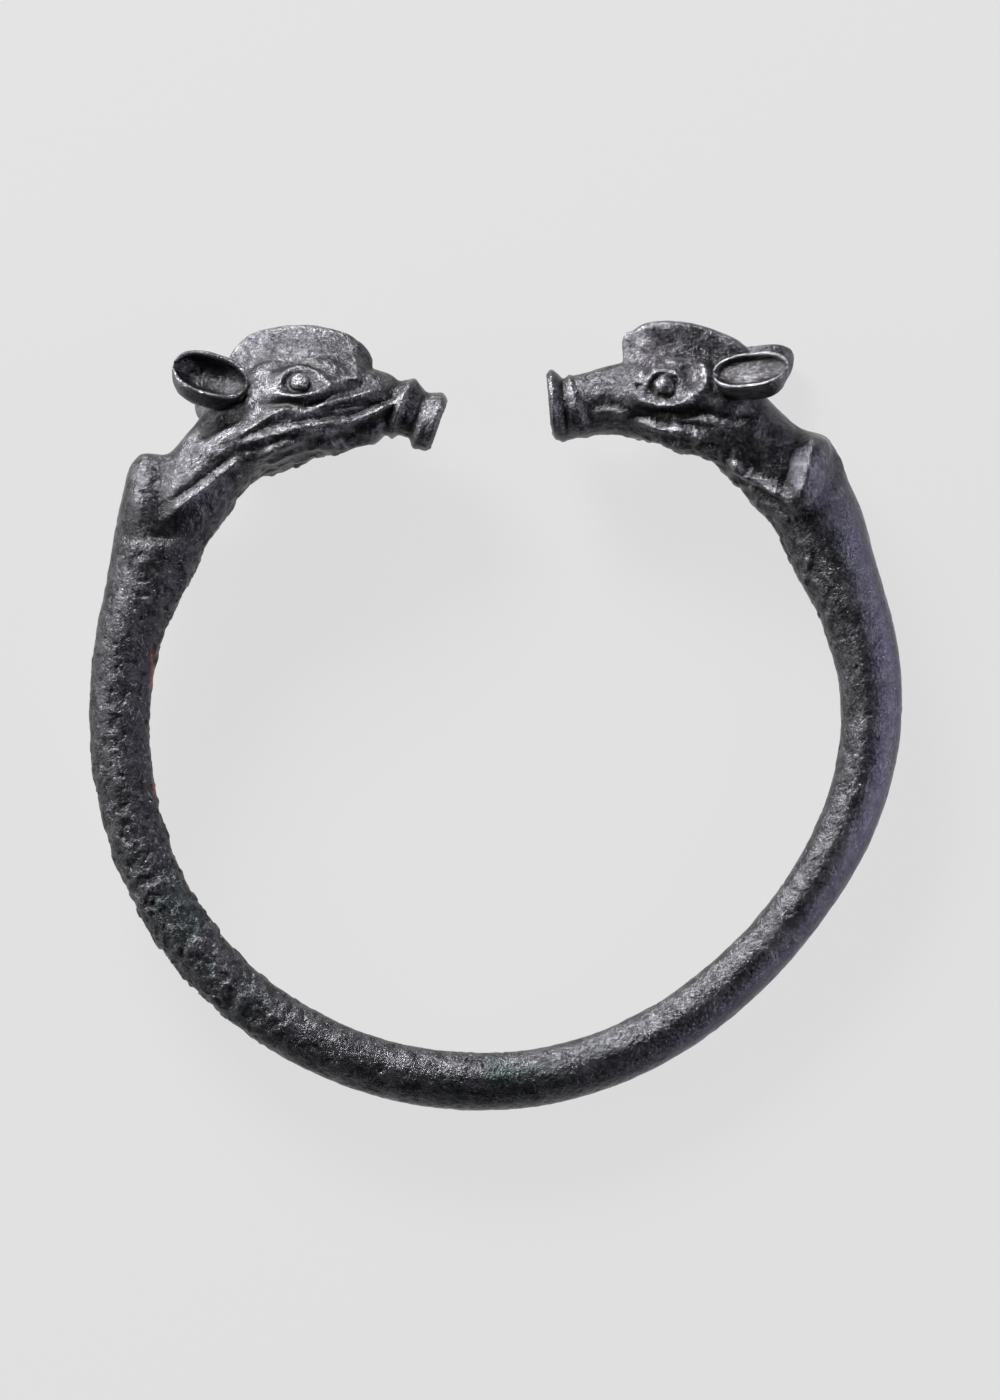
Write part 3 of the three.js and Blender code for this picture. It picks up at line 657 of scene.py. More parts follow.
LEFT_STROKES: tuple[Stroke, ...] = (
    Stroke("crease over the brow", ((-13.4, 34.2), (-16, 35.2), (-19, 35.7), (-23, 35.2)),
           0.5, -0.08),
    Stroke("brow", ((-25, 32.8), (-22.8, 34.2), (-20.5, 35), (-19, 34.9), (-17, 34.2), (-14, 33)),
           0.65, 0.42),
    Stroke("groove under the brow", ((-22.6, 33.1), (-21, 33.9), (-19.5, 34.1), (-17.5, 33.4)),
           0.36, -0.26),
    Stroke("upper lid", ((-22, 31.9), (-20.4, 33.4), (-19, 33.6), (-17.5, 32.7), (-16, 31.3)),
           0.3, 0.26),
    Stroke("lower lid", ((-22.4, 31.4), (-21.4, 30.8), (-19.5, 30.6), (-17.8, 30.9), (-16.2, 31.7)),
           0.34, 0.42),
    Stroke("cheek groove",
           ((-23.6, 30), (-21, 29.9), (-19, 29.9), (-17, 30.6), (-15, 31.2), (-12.6, 31.7)),
           0.5, -0.5),
    Stroke("upper lip", ((-18.3, 29.5), (-16, 30.1), (-14, 30.6), (-11.2, 31.5)), 0.36, 0.42),
    Stroke("groove under the upper lip", ((-17.6, 29.2), (-15, 29.8), (-13, 30), (-11, 30.3)),
           0.32, -0.35),
    Stroke("mouth", ((-21, 27.8), (-18, 28.5), (-16, 28.7), (-14, 29), (-12, 29.9), (-10.4, 30.4)),
           0.3, -0.42),
    Stroke("lower lip", ((-18.4, 27.2), (-16.5, 28.1), (-14.5, 28.2), (-12, 29.1), (-9.6, 30.4)),
           0.36, 0.55),
    Stroke("hollow behind the lip", ((-14.6, 27.1), (-12.4, 27.9), (-10.6, 28.8)), 0.4, -0.35),
    Stroke("hollow under the ear", ((-30.8, 26.6), (-27.6, 28.2), (-24.4, 28.9)), 0.85, -0.75),
    Stroke("neck fold", ((-26, 26.4), (-23, 28.3), (-21, 29.3), (-19.4, 29.6)), 0.42, 0.42),
    Stroke("cheek fold", ((-26, 25.8), (-23, 26.6), (-21, 27.2), (-17.6, 27.9)), 0.44, 0.5),
    Stroke("jaw edge", ((-25, 23.8), (-22, 25.4), (-20, 26.2), (-18.5, 26.9), (-16, 27.3)),
           0.42, 0.45),
    Stroke("hollow under the jaw edge", ((-23.5, 23.6), (-20, 25), (-17, 26.2), (-13, 26.4)),
           0.65, -0.6),
    Stroke("neck edge", ((-24.4, 25.1), (-27, 23.2), (-29.6, 21.1), (-33, 18.6)), 0.5, 0.4),
    Stroke("groove over the neck edge", ((-26.4, 24.6), (-28.6, 23), (-30.6, 21.4), (-32.6, 20)),
           0.36, -0.26),
    Stroke("collar groove", ((-32.7, 25.8), (-33.2, 22), (-33.0, 18.2)), 0.9, -0.4),
    Stroke("shoulder", ((-34.6, 26.6), (-35.5, 22.6), (-35.3, 17.8)), 1.3, 0.9, 0.6),
    Stroke("hollow under the shoulder", ((-39, 17.2), (-34.4, 16.8), (-30, 17.4)), 0.9, -0.4),
)
RIGHT_CREST: tuple[Place, ...] = (
    (8.55, 6.0), (8.8, 6.7), (9.4, 6.95), (9.9, 7.45), (10.8, 7.85),
    (12.4, 8.15), (14.2, 8.2), (15.8, 8.05), (17.2, 7.85), (18.4, 7.3),
    (19.6, 6.2), (20.8, 4.6),
)
LEFT_CREST: tuple[Place, ...] = (
    (7.4, 4.9), (7.7, 5.7), (8.2, 6.4), (9.0, 7.1), (10.0, 7.8),
    (11.4, 8.4), (13.2, 8.9), (15.2, 9.2), (16.7, 9.25), (17.9, 8.75),
    (18.9, 7.5), (19.8, 6.0), (21.0, 4.4),
)


class Shells:
    """Closed grids of points, gathered into one mesh."""

    def __init__(self) -> None:
        """Starts with nothing gathered."""
        self.points: list[Array] = []
        self.faces: list[Array] = []
        self.count = 0

    def add(self, grid: Array) -> None:
        """Adds a grid whose rows are closed rings, with a pole at each end, facing outwards.

        Args:
            grid: points, one row a ring.
        """
        rows, columns, _ = grid.shape
        index = np.arange(rows * columns).reshape(rows, columns)
        ahead = np.roll(index, -1, axis=1)
        quads = np.stack([index[:-1], index[1:], ahead[1:], ahead[:-1]], axis=-1).reshape(-1, 4)
        triangles = np.concatenate([quads[:, [0, 1, 2]], quads[:, [0, 2, 3]]])
        first, last = rows * columns, rows * columns + 1
        start = np.stack([np.full(columns, first), index[0], ahead[0]], axis=-1)
        end = np.stack([np.full(columns, last), ahead[-1], index[-1]], axis=-1)
        points = np.concatenate([grid.reshape(-1, 3), grid[[0, -1]].mean(axis=1)])
        faces = np.concatenate([triangles, start, end])
        corners = points[faces]
        volume = np.einsum("ij,ij->", corners[:, 0], np.cross(corners[:, 1], corners[:, 2]))
        self.points.append(points)
        self.faces.append((faces if volume > 0 else faces[:, ::-1]) + self.count)
        self.count += len(points)

    def mesh(self, name: str) -> Mesh:
        """All gathered shells as one Blender mesh."""
        return mesh_of(name, np.concatenate(self.points), np.concatenate(self.faces))


def mesh_of(name: str, points: Array, faces: Array) -> Mesh:
    """Blender mesh of triangles.

    Args:
        name: the mesh's name.
        points: places, one a row.
        faces: three point numbers a row.

    Returns:
        The mesh, with smooth shading.
    """
    mesh = bpy.data.meshes.new(name)
    mesh.vertices.add(len(points))
    mesh.vertices.foreach_set("co", points.astype(np.float32).ravel())
    mesh.loops.add(faces.size)
    mesh.loops.foreach_set("vertex_index", faces.astype(np.int32).ravel())
    mesh.polygons.add(len(faces))
    mesh.polygons.foreach_set("loop_start", np.arange(0, faces.size, 3, dtype=np.int32))
    mesh.update(calc_edges=True)
    mesh.validate()
    mesh.polygons.foreach_set("use_smooth", np.ones(len(mesh.polygons), bool))
    return mesh


def placed(name: str, data: bpy.types.ID) -> bpy.types.Object:
    """A new object in the scene that holds a mesh, light or camera."""
    made = bpy.data.objects.new(name, data)
    bpy.context.scene.collection.objects.link(made)
    return made


def matrix_of(turn: Array, place: Array) -> Matrix:
    """Blender matrix that turns and then moves."""
    return Matrix([[*row, value] for row, value in zip(turn, place)] + [[0.0, 0.0, 0.0, 1.0]])


def points_of(mesh: Mesh) -> Array:
    """Places of a mesh's points, one a row."""
    points = np.empty(len(mesh.vertices) * 3, np.float32)
    mesh.vertices.foreach_get("co", points)
    return points.reshape(-1, 3).astype(float)


def normals_of(mesh: Mesh) -> Array:
    """Outward directions at a mesh's points, one a row."""
    normals = np.empty(len(mesh.vertices) * 3, np.float32)
    mesh.vertex_normals.foreach_get("vector", normals)
    return normals.reshape(-1, 3).astype(float)


def after_modifier(mesh: Mesh, kind: str, **settings: object) -> Mesh:
    """The mesh that one modifier makes of another.

    Args:
        mesh: what it starts from.
        kind: the modifier's type.
        settings: its values.

    Returns:
        A new mesh, without modifiers.
    """
    holder = placed("holder", mesh)
    modifier = holder.modifiers.new("step", kind)
    for key, value in settings.items():
        setattr(modifier, key, value)
    bpy.context.view_layer.update()
    graph = bpy.context.evaluated_depsgraph_get()
    made = bpy.data.meshes.new_from_object(holder.evaluated_get(graph))
    bpy.data.objects.remove(holder)
    return made


def edges_of(mesh: Mesh) -> Array:
    """Numbers of the two points of each of a mesh's edges, one edge a row."""
    edges = np.empty(len(mesh.edges) * 2, np.int32)
    mesh.edges.foreach_get("vertices", edges)
    return edges.reshape(-1, 2)


def keep_largest_part(mesh: Mesh) -> None:
    """Deletes every loose part of a mesh but the largest, such as a bubble that fusing left.

    Each point takes the lowest number that it or a neighbour carries, until nothing changes; the
    points of one part then share a number.

    Args:
        mesh: changed in place.
    """
    start, end = edges_of(mesh).T
    numbers = np.arange(len(mesh.vertices))
    before = None
    while before is None or np.any(before != numbers):
        before = numbers.copy()
        lowest = np.minimum(numbers[start], numbers[end])
        np.minimum.at(numbers, start, lowest)
        np.minimum.at(numbers, end, lowest)
        numbers = numbers[numbers]
    loose = np.flatnonzero(numbers != np.bincount(numbers).argmax())
    log.info("points in loose parts: %d, deleted", len(loose))
    edited = bmesh.new()
    edited.from_mesh(mesh)
    edited.verts.ensure_lookup_table()
    bmesh.ops.delete(edited, geom=[edited.verts[i] for i in loose.tolist()], context="VERTS")
    edited.to_mesh(mesh)
    edited.free()


class Skin:
    """Points, faces and edges of the fused casting, with the moves that wear it."""

    def __init__(self, mesh: Mesh) -> None:
        """Reads a mesh.

        Args:
            mesh: the fused casting.
        """
        self.mesh = mesh
        self.points = points_of(mesh)
        self.edges = edges_of(mesh)
        self.neighbours = np.bincount(self.edges.ravel(), minlength=len(self.points))

    def average(self, values: Array) -> Array:
        """Mean of each point's neighbours, column by column."""
        start, end = self.edges.T
        count = len(values)
        columns = [
            np.bincount(start, values[end, k], count) + np.bincount(end, values[start, k], count)
            for k in range(values.shape[1])
        ]
        return np.stack(columns, axis=1) / np.maximum(self.neighbours, 1)[:, None]

    def smoothed(self, points: Array, passes: int, keep: float) -> Array:
        """Points drawn to their neighbours' mean and pushed back a little less, pass by pass.

        Args:
            points: places to smooth.
            passes: how often.
            keep: share of each draw that the second move gives back.

        Returns:
            The smoothed places.
        """
        for _ in range(passes):
            points = points + 0.5 * (self.average(points) - points)
            if keep > 0:
                points = points - 0.5 * keep * (self.average(points) - points)
        return points

    def set_points(self, points: Array) -> None:
        """Puts new places into the mesh."""
        self.points = points
        self.mesh.vertices.foreach_set("co", points.astype(np.float32).ravel())
        self.mesh.update()

    def normals(self) -> Array:
        """Outward directions at the points."""
        return normals_of(self.mesh)

    def write(self, mark: Mark, values: Array) -> None:
        """Stores one number a point, for the finish to read."""
        attribute = self.mesh.attributes.new(mark.value, "FLOAT", "POINT")
        attribute.data.foreach_set("value", values.astype(np.float32))


class Mark(Enum):
    """Numbers that the casting carries at each point, for its finish."""

    RIDGE = "ridge"
    CORROSION = "corrosion"
    COPPER_RED = "copper_red"
    # painted reflection: a violet sheen of the right-hand fill light, kept as a mark
    VIOLET_SHEEN = "violet"
    PALE = "pale"
    GREEN = "green"


@dataclass(frozen=True)
class Patch:
    """A soft-edged spot in the front view: a bell across times a bell along."""

    x: float
    y: float
    half_width: float
    half_height: float

    def share(self, points: Array) -> Array:
        """How strongly the spot covers each point, from 0 to 1."""
        across = bell(points[:, 0] - self.x, self.half_width)
        return across * bell(points[:, 1] - self.y, self.half_height)


@dataclass(frozen=True)
class Relief:
    """One layer of unevenness: a noise of one cell size and the height that it gives.

    grows is the height that full corrosion adds. With edges, the noise counts as a smooth step
    between these two values.
    """

    cell: float
    height: float
    grows: float = 0.0
    edges: Span | None = None

    def over(self, points: Array, rough: Array, seed: int) -> Array:
        """Height of the layer: (height + grows * rough) times the noise or its step.

        Args:
            points: places, one a row.
            rough: how corroded each place is, from 0 to 1.
            seed: chooses the noise's pattern.

        Returns:
            One height a point.
        """
        noise = lattice_noise(points, self.cell, seed)
        if self.edges:
            noise = smooth(noise, *self.edges)
        return (self.height + self.grows * rough) * noise


@dataclass(frozen=True)
class Weathering:
    """Wear, pits, corrosion, crust and stains of the casting, and where a violet sheen is painted,
    in the hoop's own frame.

    Lengths are in millimetres, angles in degrees from +x. Each (low, high) pair is where a change
    starts and where it is complete.
    """

    hoop_radius: float
    seed: int = 7
    layers: tuple[Relief, ...] = (
        Relief(3.4, 0.035),
        Relief(1.1, 0.02, 0.035),
        Relief(0.5, 0.02, 0.03),
        Relief(0.6, -0.015, -0.13, (0.35, 0.7)),
    )
    crust: tuple[Relief, ...] = (
        Relief(1.4, 0.21, edges=(0.0, 0.4)),
        Relief(0.8, 0.19, edges=(0.05, 0.4)),
    )
    corroded_angle: float = 202.0
    corroded_spread: float = 48.0
    corroded_share: float = 0.75
    inner_side: Span = (0.4, 2.4)
    inner_share: float = 0.35
    inner_share_lost_on_heads: float = 0.6
    heads_from: Span = (14.0, 24.0)
    cloud_cell: float = 6.0
    cloud_share: float = 0.25
    crusted_angle: float = 212.0
    crusted_spread: float = 26.0
    crusted_share: float = 0.75
    throat_side: Span = (1.2, 3.4)
    throat_from: Span = (2.0, 10.0)
    throat_share: float = 0.6
    snout_reach: Span = (8.0, 22.0)
    snout_drop: float = 7.5
    crust_free_half_gap: float = 9.5
    circle: Place = (-35.2, 13.6)
    circle_radius: float = 1.35
    circle_depth: float = 0.12
    circle_line: float = 0.2
    # where the painted violet sheen of the fill light lies on the hoop's right outer side
    violet_sheen_side: Span = (-1.0, 1.5)
    violet_sheen_from: Span = (6.0, 24.0)
    violet_sheen_down_to: Span = (-32.0, -12.0)
    red_specks: tuple[Patch, ...] = (
        Patch(-34.35, 0.7, 0.14, 4.2),
        Patch(-34.05, -8.3, 0.18, 1.3),
    )
    pale_crumbs: Patch = Patch(33.4, -12.0, 0.9, 1.44)
    green_stains: tuple[Patch, ...] = (
        Patch(-30.0, -22.0, 10.0, 10.0),
        Patch(2.0, -37.5, 9.0, 9.0),
    )

    def inside(self, points: Array) -> Array:
        """How far each point lies inside the hoop's circle."""
        return self.hoop_radius - np.hypot(points[:, 0], points[:, 1])

    def from_angle(self, points: Array, angle: float) -> Array:
        """Degrees from an angle to each point's own, counted from 0 to 360 round the hoop."""
        own = np.degrees(np.arctan2(points[:, 1], points[:, 0]))
        return (own + 360.0) % 360.0 - angle

    def corrosion(self, points: Array) -> Array:
        """How corroded the surface is: most on the lower left of the hoop and inside the hoop."""
        lower_left = bell(self.from_angle(points, self.corroded_angle), self.corroded_spread)
        inner = smooth(self.inside(points), *self.inner_side)
        inner *= 1.0 - self.inner_share_lost_on_heads * smooth(points[:, 1], *self.heads_from)
        cloud = 0.5 + 0.5 * lattice_noise(points, self.cloud_cell, self.seed + 11)
        bar = self.cloud_share * cloud + self.corroded_share * lower_left
        return np.clip(bar + self.inner_share * inner, 0.0, 1.0)

    def crusty(self, points: Array) -> Array:
        """Where lumps of crust sit: under the jaws and necks, and round the lower left."""
        aside = np.abs(points[:, 0])
        drop = self.snout_drop * (1.0 - smooth(aside, *self.snout_reach))
        throats = smooth(self.inside(points) - drop, *self.throat_side)
        throats *= smooth(points[:, 1], *self.throat_from) * (aside > self.crust_free_half_gap)
        lower_left = bell(self.from_angle(points, self.crusted_angle), self.crusted_spread)
        return np.clip(self.throat_share * throats + self.crusted_share * lower_left, 0.0, 1.0)

    def worn(self, points: Array, normals: Array) -> Array:
        """Unevenness of the casting: waves, hammered facets, grains, pits, crust and a circle.

        Args:
            points: places in the hoop's frame.
            normals: outward directions there.

        Returns:
            The moved points.
        """
        rough = self.corrosion(points)
        seeds = iter(range(self.seed, self.seed + len(self.layers) + len(self.crust)))
        moved = sum(layer.over(points, rough, next(seeds)) for layer in self.layers)
        lumps = sum(layer.over(points, rough, next(seeds)) for layer in self.crust)
        moved = moved + self.crusty(points) * lumps - self.incised_circle(points)
        return points + normals * moved[:, None]

    def incised_circle(self, points: Array) -> Array:
        """Depth of the worn circle cut into the left neck, on the viewer's side."""
        from_centre = np.hypot(points[:, 0] - self.circle[0], points[:, 1] - self.circle[1])
        kept = 0.5 + 0.5 * smooth(lattice_noise(points, 1.2, self.seed + 6), -0.4, 0.3)
        line = bell(from_centre - self.circle_radius, self.circle_line)
        return self.circle_depth * line * kept * (points[:, 2] > 0)

    def copper_red(self, points: Array) -> Array:
        """Where red copper oxide shows: thin broken specks on the hoop's inner left edge."""
        broken = smooth(lattice_noise(points, 0.7, self.seed + 20), 0.0, 0.35)
        return np.clip(sum(patch.share(points) for patch in self.red_specks) * broken, 0.0, 1.0)

    def green(self, points: Array) -> Array:
        """Where the patina turns a little green: the lower left and the middle of the bottom."""
        cloud = smooth(lattice_noise(points, 2.2, self.seed + 21), -0.1, 0.6)
        return np.clip(sum(patch.share(points) for patch in self.green_stains) * cloud, 0.0, 1.0)

    def violet(self, points: Array) -> Array:
        """Where a violet sheen is painted: the outer side of the hoop's right half, as a reflection
        of the violet fill light.
        """
        right = smooth(points[:, 0], *self.violet_sheen_from)
        upper = smooth(-points[:, 1], *self.violet_sheen_down_to)
        return smooth(-self.inside(points), *self.violet_sheen_side) * right * upper

    def pale(self, points: Array) -> Array:
        """Where pale crumbs stick: one spot on the hoop's inner right side."""
        return self.pale_crumbs.share(points)


@dataclass
class Bracelet:
    """The whole casting: hoop, two heads and all their carving as one piece."""

    bar: Bar
    right: BoarHead
    left: BoarHead
    weathering: Weathering
    voxel: float = 0.14
    rest_flat_depth: float = 0.15
    most_triangles: int = 192_000
    around: int = 168
    section_step: float = 0.16
    bar_sections: int = 360
    snout_rings: int = 16
    near_passes: int = 12
    far_passes: int = 70
    fine_relief: float = 0.09
    broad_relief: float = 0.30
    fine_weight: float = 0.45
    broad_weight: float = 0.75

    def casting_grid(self) -> Array:
        """One surface from the right snout round the hoop to the left snout."""
        even = np.linspace(0.0, 2.0 * math.pi, self.around, endpoint=False)
        turn = even + 0.2 * np.sin(2.0 * even)
        t = np.arange(0.0, self.right.length - 0.1, self.section_step)
        right, left = (head.core_grid(t, turn) for head in (self.right, self.left))
        start, end = self.right.joint_degrees, 360.0 - self.left.joint_degrees
        shares = np.linspace(0.97, 0.06, self.snout_rings)
        right_snout = self.right.snout_grid(right[0], shares)
        left_snout = self.left.snout_grid(left[0], shares)
        bar = self.bar.grid(np.linspace(start, end, self.bar_sections), turn)
        return np.concatenate([right_snout[::-1], right, bar, left[::-1], left_snout])

    def fused(self) -> Mesh:
        """All shells fused to one skin by a level set on a fine lattice."""
        shells = Shells()
        shells.add(self.casting_grid())
        for head in (self.right, self.left):
            names = ", ".join(stroke.name for stroke in head.strokes)
            log.info("%s head, carved with: %s", head.name, names)
            shells.add(head.crest_shell())
            for near in (1, -1):
                shells.add(head.ear_shell(near))
                shells.add(head.eye_shell(near))
        return after_modifier(
            shells.mesh("shells"), "REMESH", mode="VOXEL", voxel_size=self.voxel, adaptivity=0.0
        )

    def rest_turn(self, points: Array) -> Array:
        """Turn that levels the plane through the lowest points of the hoop's back and both heads.

        Args:
            points: places in the hoop's frame.

        Returns:
            Rotation as a 3 by 3 array.
        """
        radius = self.bar.hoop_radius
        high = points[:, 1] > radius / 4
        groups = [
            points[points[:, 1] < -radius / 2],
            points[high & (points[:, 0] < 0)],
            points[high & (points[:, 0] > 0)],
        ]
        up = np.array([0.0, 0.0, 1.0])
        for _ in range(8):
            a, b, c = (group[np.argmin(group @ up)] for group in groups)
            up = unit(np.cross(b - a, c - a))
            up = up if up[2] > 0 else -up
        axis = np.cross(up, [0.0, 0.0, 1.0])
        cross = np.array(
            [[0.0, -axis[2], axis[1]], [axis[2], 0.0, -axis[0]], [-axis[1], axis[0], 0.0]]
        )
        return np.eye(3) + cross + cross @ cross / (1.0 + up[2])

    def lay_down(self, points: Array) -> Array:
        """Points turned to rest, centred in plan and worn flat where they touch the floor.

        Args:
            points: places in the hoop's frame.

        Returns:
            Places in the part's frame, still in millimetres.
        """
        turn = self.rest_turn(points)
        turned = points @ turn.T
        low, high = turned.min(axis=0), turned.max(axis=0)
        shift = -(low + high) / 2.0
        shift[2] = -low[2] - self.rest_flat_depth
        self.rest = (turn, shift)
        laid = turned + shift
        laid[:, 2] = np.maximum(laid[:, 2], 0.0)
        return laid

    def build(self) -> bpy.types.Object:
        """Makes the finished piece.

        Returns:
            The object, at the origin, in metres.
        """
        skin = Skin(self.fused())
        log.info("fused skin: %d points", len(skin.points))
        skin.set_points(skin.smoothed(skin.points, 2, 0.9))
        skin.set_points(self.weathering.worn(skin.points, skin.normals()))
        points = skin.points
        skin.write(Mark.RIDGE, self.ridges(skin))
        skin.write(Mark.CORROSION, self.weathering.corrosion(points))
        skin.write(Mark.COPPER_RED, self.weathering.copper_red(points))
        skin.write(Mark.GREEN, self.weathering.green(points))
        skin.write(Mark.VIOLET_SHEEN, self.weathering.violet(points))
        # painted violet sheen, stored as a mark for the finish
        skin.write(Mark.PALE, self.weathering.pale(points))
        skin.set_points(self.lay_down(points) * MILLIMETRE)
        triangles = 2 * len(skin.mesh.polygons)
        ratio = min(1.0, self.most_triangles / triangles)
        mesh = after_modifier(skin.mesh, "DECIMATE", ratio=ratio, use_collapse_triangulate=True)
        keep_largest_part(mesh)
        mesh.name = PIECE
        mesh.polygons.foreach_set("use_smooth", np.ones(len(mesh.polygons), bool))
        return placed(PIECE, mesh)

    def ridges(self, skin: Skin) -> Array:
        """How far a place stands out (+) or lies in a hollow (-), against two smoother skins.

        Args:
            skin: the casting, worn but not yet laid down.

        Returns:
            One value a point, from -1 to 1.
        """
        near = skin.smoothed(skin.points, self.near_passes, 0.0)
        far = skin.smoothed(near, self.far_passes, 0.0)
        normals = skin.normals()
        fine = np.einsum("ij,ij->i", skin.points - near, normals) / self.fine_relief
        broad = np.einsum("ij,ij->i", skin.points - far, normals) / self.broad_relief
        return np.clip(self.fine_weight * fine + self.broad_weight * broad, -1.0, 1.0)


@dataclass(frozen=True)
class Texture:
    """A noise over the surface: lumps a metre, octaves, and weight of the finer octaves."""

    scale: float
    detail: float
    roughness: float


@dataclass(frozen=True)
class DarkBronze:
    """Near-black violet-grey patina on cast bronze, worn brighter on ridges, with dirt and painted
    shade darkening its hollows and a painted violet sheen on the hoop's right outer side.

    The colour goes from deep to worn with wear, which is a sum of the casting's ridges, clouds and
    sand. Each (low, high) pair is where a noise starts to count and where it counts in full.
    """

    deep: Colour = (0.020, 0.020, 0.023)
    worn: Colour = (0.175, 0.173, 0.186)
    # near-black of dirt and painted shade, for the hollows
    shade_and_dirt: Colour = (0.018, 0.017, 0.016)
    green: Colour = (0.020, 0.034, 0.030)
    red: Colour = (0.30, 0.07, 0.03)
    # colour of the painted violet sheen, a reflection of the fill light rather than patina
    violet: Colour = (0.110, 0.104, 0.150)
    speck: Colour = (0.36, 0.37, 0.40)
    clouds: Texture = Texture(600.0, 4.0, 0.6)
    clouds_from: Span = (0.3, 0.75)
    sand: Texture = Texture(2600.0, 3.0, 0.7)
    ridge_wear: float = 0.5
    cloud_wear: float = 0.6
    sand_wear: float = 1.6
    wear_kept_dark: float = 0.88
    corroded_dull: float = 0.75
    # how strongly hollows turn dark: dirt and painted shade together
    hollow_shade_and_dirt: float = -1.3
    green_share: float = 0.5
    # how strongly the painted violet sheen is mixed in
    violet_sheen_share: float = 0.45
    specks: Texture = Texture(3600.0, 3.0, 0.7)
    specks_from: Span = (0.6, 0.72)
    specks_everywhere: float = 0.25
    specks_where_pale: float = 2.0
    speck_share: float = 0.4
    long_scratches: Texture = Texture(620.0, 1.0, 0.5)
    long_scratch_width: float = 0.010
    short_scratches: Texture = Texture(1150.0, 1.0, 0.5)
    short_scratch_width: float = 0.014
    scratch_breaks: Texture = Texture(900.0, 2.0, 0.6)
    scratch_breaks_from: Span = (0.5, 0.6)
    scratched_from: Span = (0.25, 1.0)
    scratch_share: float = 0.6
    metallic: float = 0.8
    roughness: float = 0.13
    corroded_roughness: float = 0.2
    gloss_patches: Texture = Texture(900.0, 3.0, 0.6)
    gloss_spread: float = 0.16
    grain: Texture = Texture(3400.0, 3.0, 0.65)
    fine_grain: Texture = Texture(8500.0, 2.0, 0.7)
    fine_grain_share: float = 0.35
    pits: Texture = Texture(2100.0, 3.0, 0.6)
    pits_from: Span = (0.36, 0.47)
    pits_everywhere: float = 0.2
    pits_share: float = 0.45
    grain_depth: float = 0.00026
    grain_strength: float = 0.5

    def colour(self, nodes: Nodes) -> Socket:
        """Colour of the patina, mixed from its parts, with painted shade in the hollows and a
        painted violet sheen.

        Args:
            nodes: where the nodes go.

        Returns:
            The colour's socket.
        """
        ridge, corrosion = nodes.mark(Mark.RIDGE), nodes.mark(Mark.CORROSION)
        cloud = nodes.ramp(nodes.noise(self.clouds), *self.clouds_from)
        sandy = nodes.times(nodes.noise(self.sand), self.sand_wear)
        clouded = nodes.plus(nodes.times(cloud, self.cloud_wear), -self.wear_kept_dark)
        wear = nodes.plus(nodes.plus(nodes.times(ridge, self.ridge_wear), clouded), sandy)
        colour = nodes.mix(nodes.clamp(wear), self.deep, self.worn)
        colour = nodes.mix(nodes.times(corrosion, self.corroded_dull), colour, self.deep)
        # dirt and painted shade: hollows mixed towards a near-black colour
        hollow = nodes.clamp(nodes.times(ridge, self.hollow_shade_and_dirt))
        colour = nodes.mix(hollow, colour, self.shade_and_dirt)
        green = nodes.times(nodes.mark(Mark.GREEN), self.green_share)
        colour = nodes.mix(green, colour, self.green)
        # painted reflection: the violet fill light's sheen mixed into the colour on the right outer
        # side
        violet = nodes.times(nodes.mark(Mark.VIOLET_SHEEN), self.violet_sheen_share)
        colour = nodes.mix(violet, colour, self.violet)
        colour = nodes.mix(nodes.mark(Mark.COPPER_RED), colour, self.red)
        speck = nodes.ramp(nodes.noise(self.specks), *self.specks_from)
        pale = nodes.times(nodes.mark(Mark.PALE), self.specks_where_pale)
        amount = nodes.plus(nodes.plus(corrosion, self.specks_everywhere), pale)
        specks = nodes.clamp(nodes.times(nodes.times(speck, amount), self.speck_share))
        return nodes.mix(nodes.math("MAXIMUM", specks, self.scratches(nodes)), colour, self.speck)

    def scratches(self, nodes: Nodes) -> Socket:
        """Short curved pale scratches: contour lines of two noises, broken up by a third one.

        Args:
            nodes: where the nodes go.

        Returns:
            How strongly a scratch shows, from 0 to 1.
        """
        long = nodes.contour(nodes.noise(self.long_scratches), self.long_scratch_width)
        short = nodes.contour(nodes.noise(self.short_scratches), self.short_scratch_width)
        broken = nodes.ramp(nodes.noise(self.scratch_breaks), *self.scratch_breaks_from)
        scratched = nodes.ramp(nodes.mark(Mark.CORROSION), *self.scratched_from)
        lines = nodes.times(nodes.math("MAXIMUM", long, short), broken)
        return nodes.times(lines, nodes.times(scratched, self.scratch_share))

    def gloss(self, nodes: Nodes) -> Socket:
        """Roughness of the surface: patchy, and higher where it is corroded."""
        matt = nodes.times(nodes.mark(Mark.CORROSION), self.corroded_roughness)
        patchy = nodes.times(nodes.noise(self.gloss_patches), self.gloss_spread)
        return nodes.clamp(nodes.plus(nodes.plus(patchy, self.roughness), matt))

    def height(self, nodes: Nodes) -> Socket:
        """Height of the finest grain and pits, as a share of grain_depth."""
        pits = nodes.ramp(nodes.noise(self.pits), *self.pits_from)
        amount = nodes.plus(nodes.mark(Mark.CORROSION), self.pits_everywhere)
        pitted = nodes.times(nodes.times(pits, amount), self.pits_share)
        fine = nodes.times(nodes.noise(self.fine_grain), self.fine_grain_share)
        return nodes.plus(nodes.plus(nodes.noise(self.grain), fine), pitted)

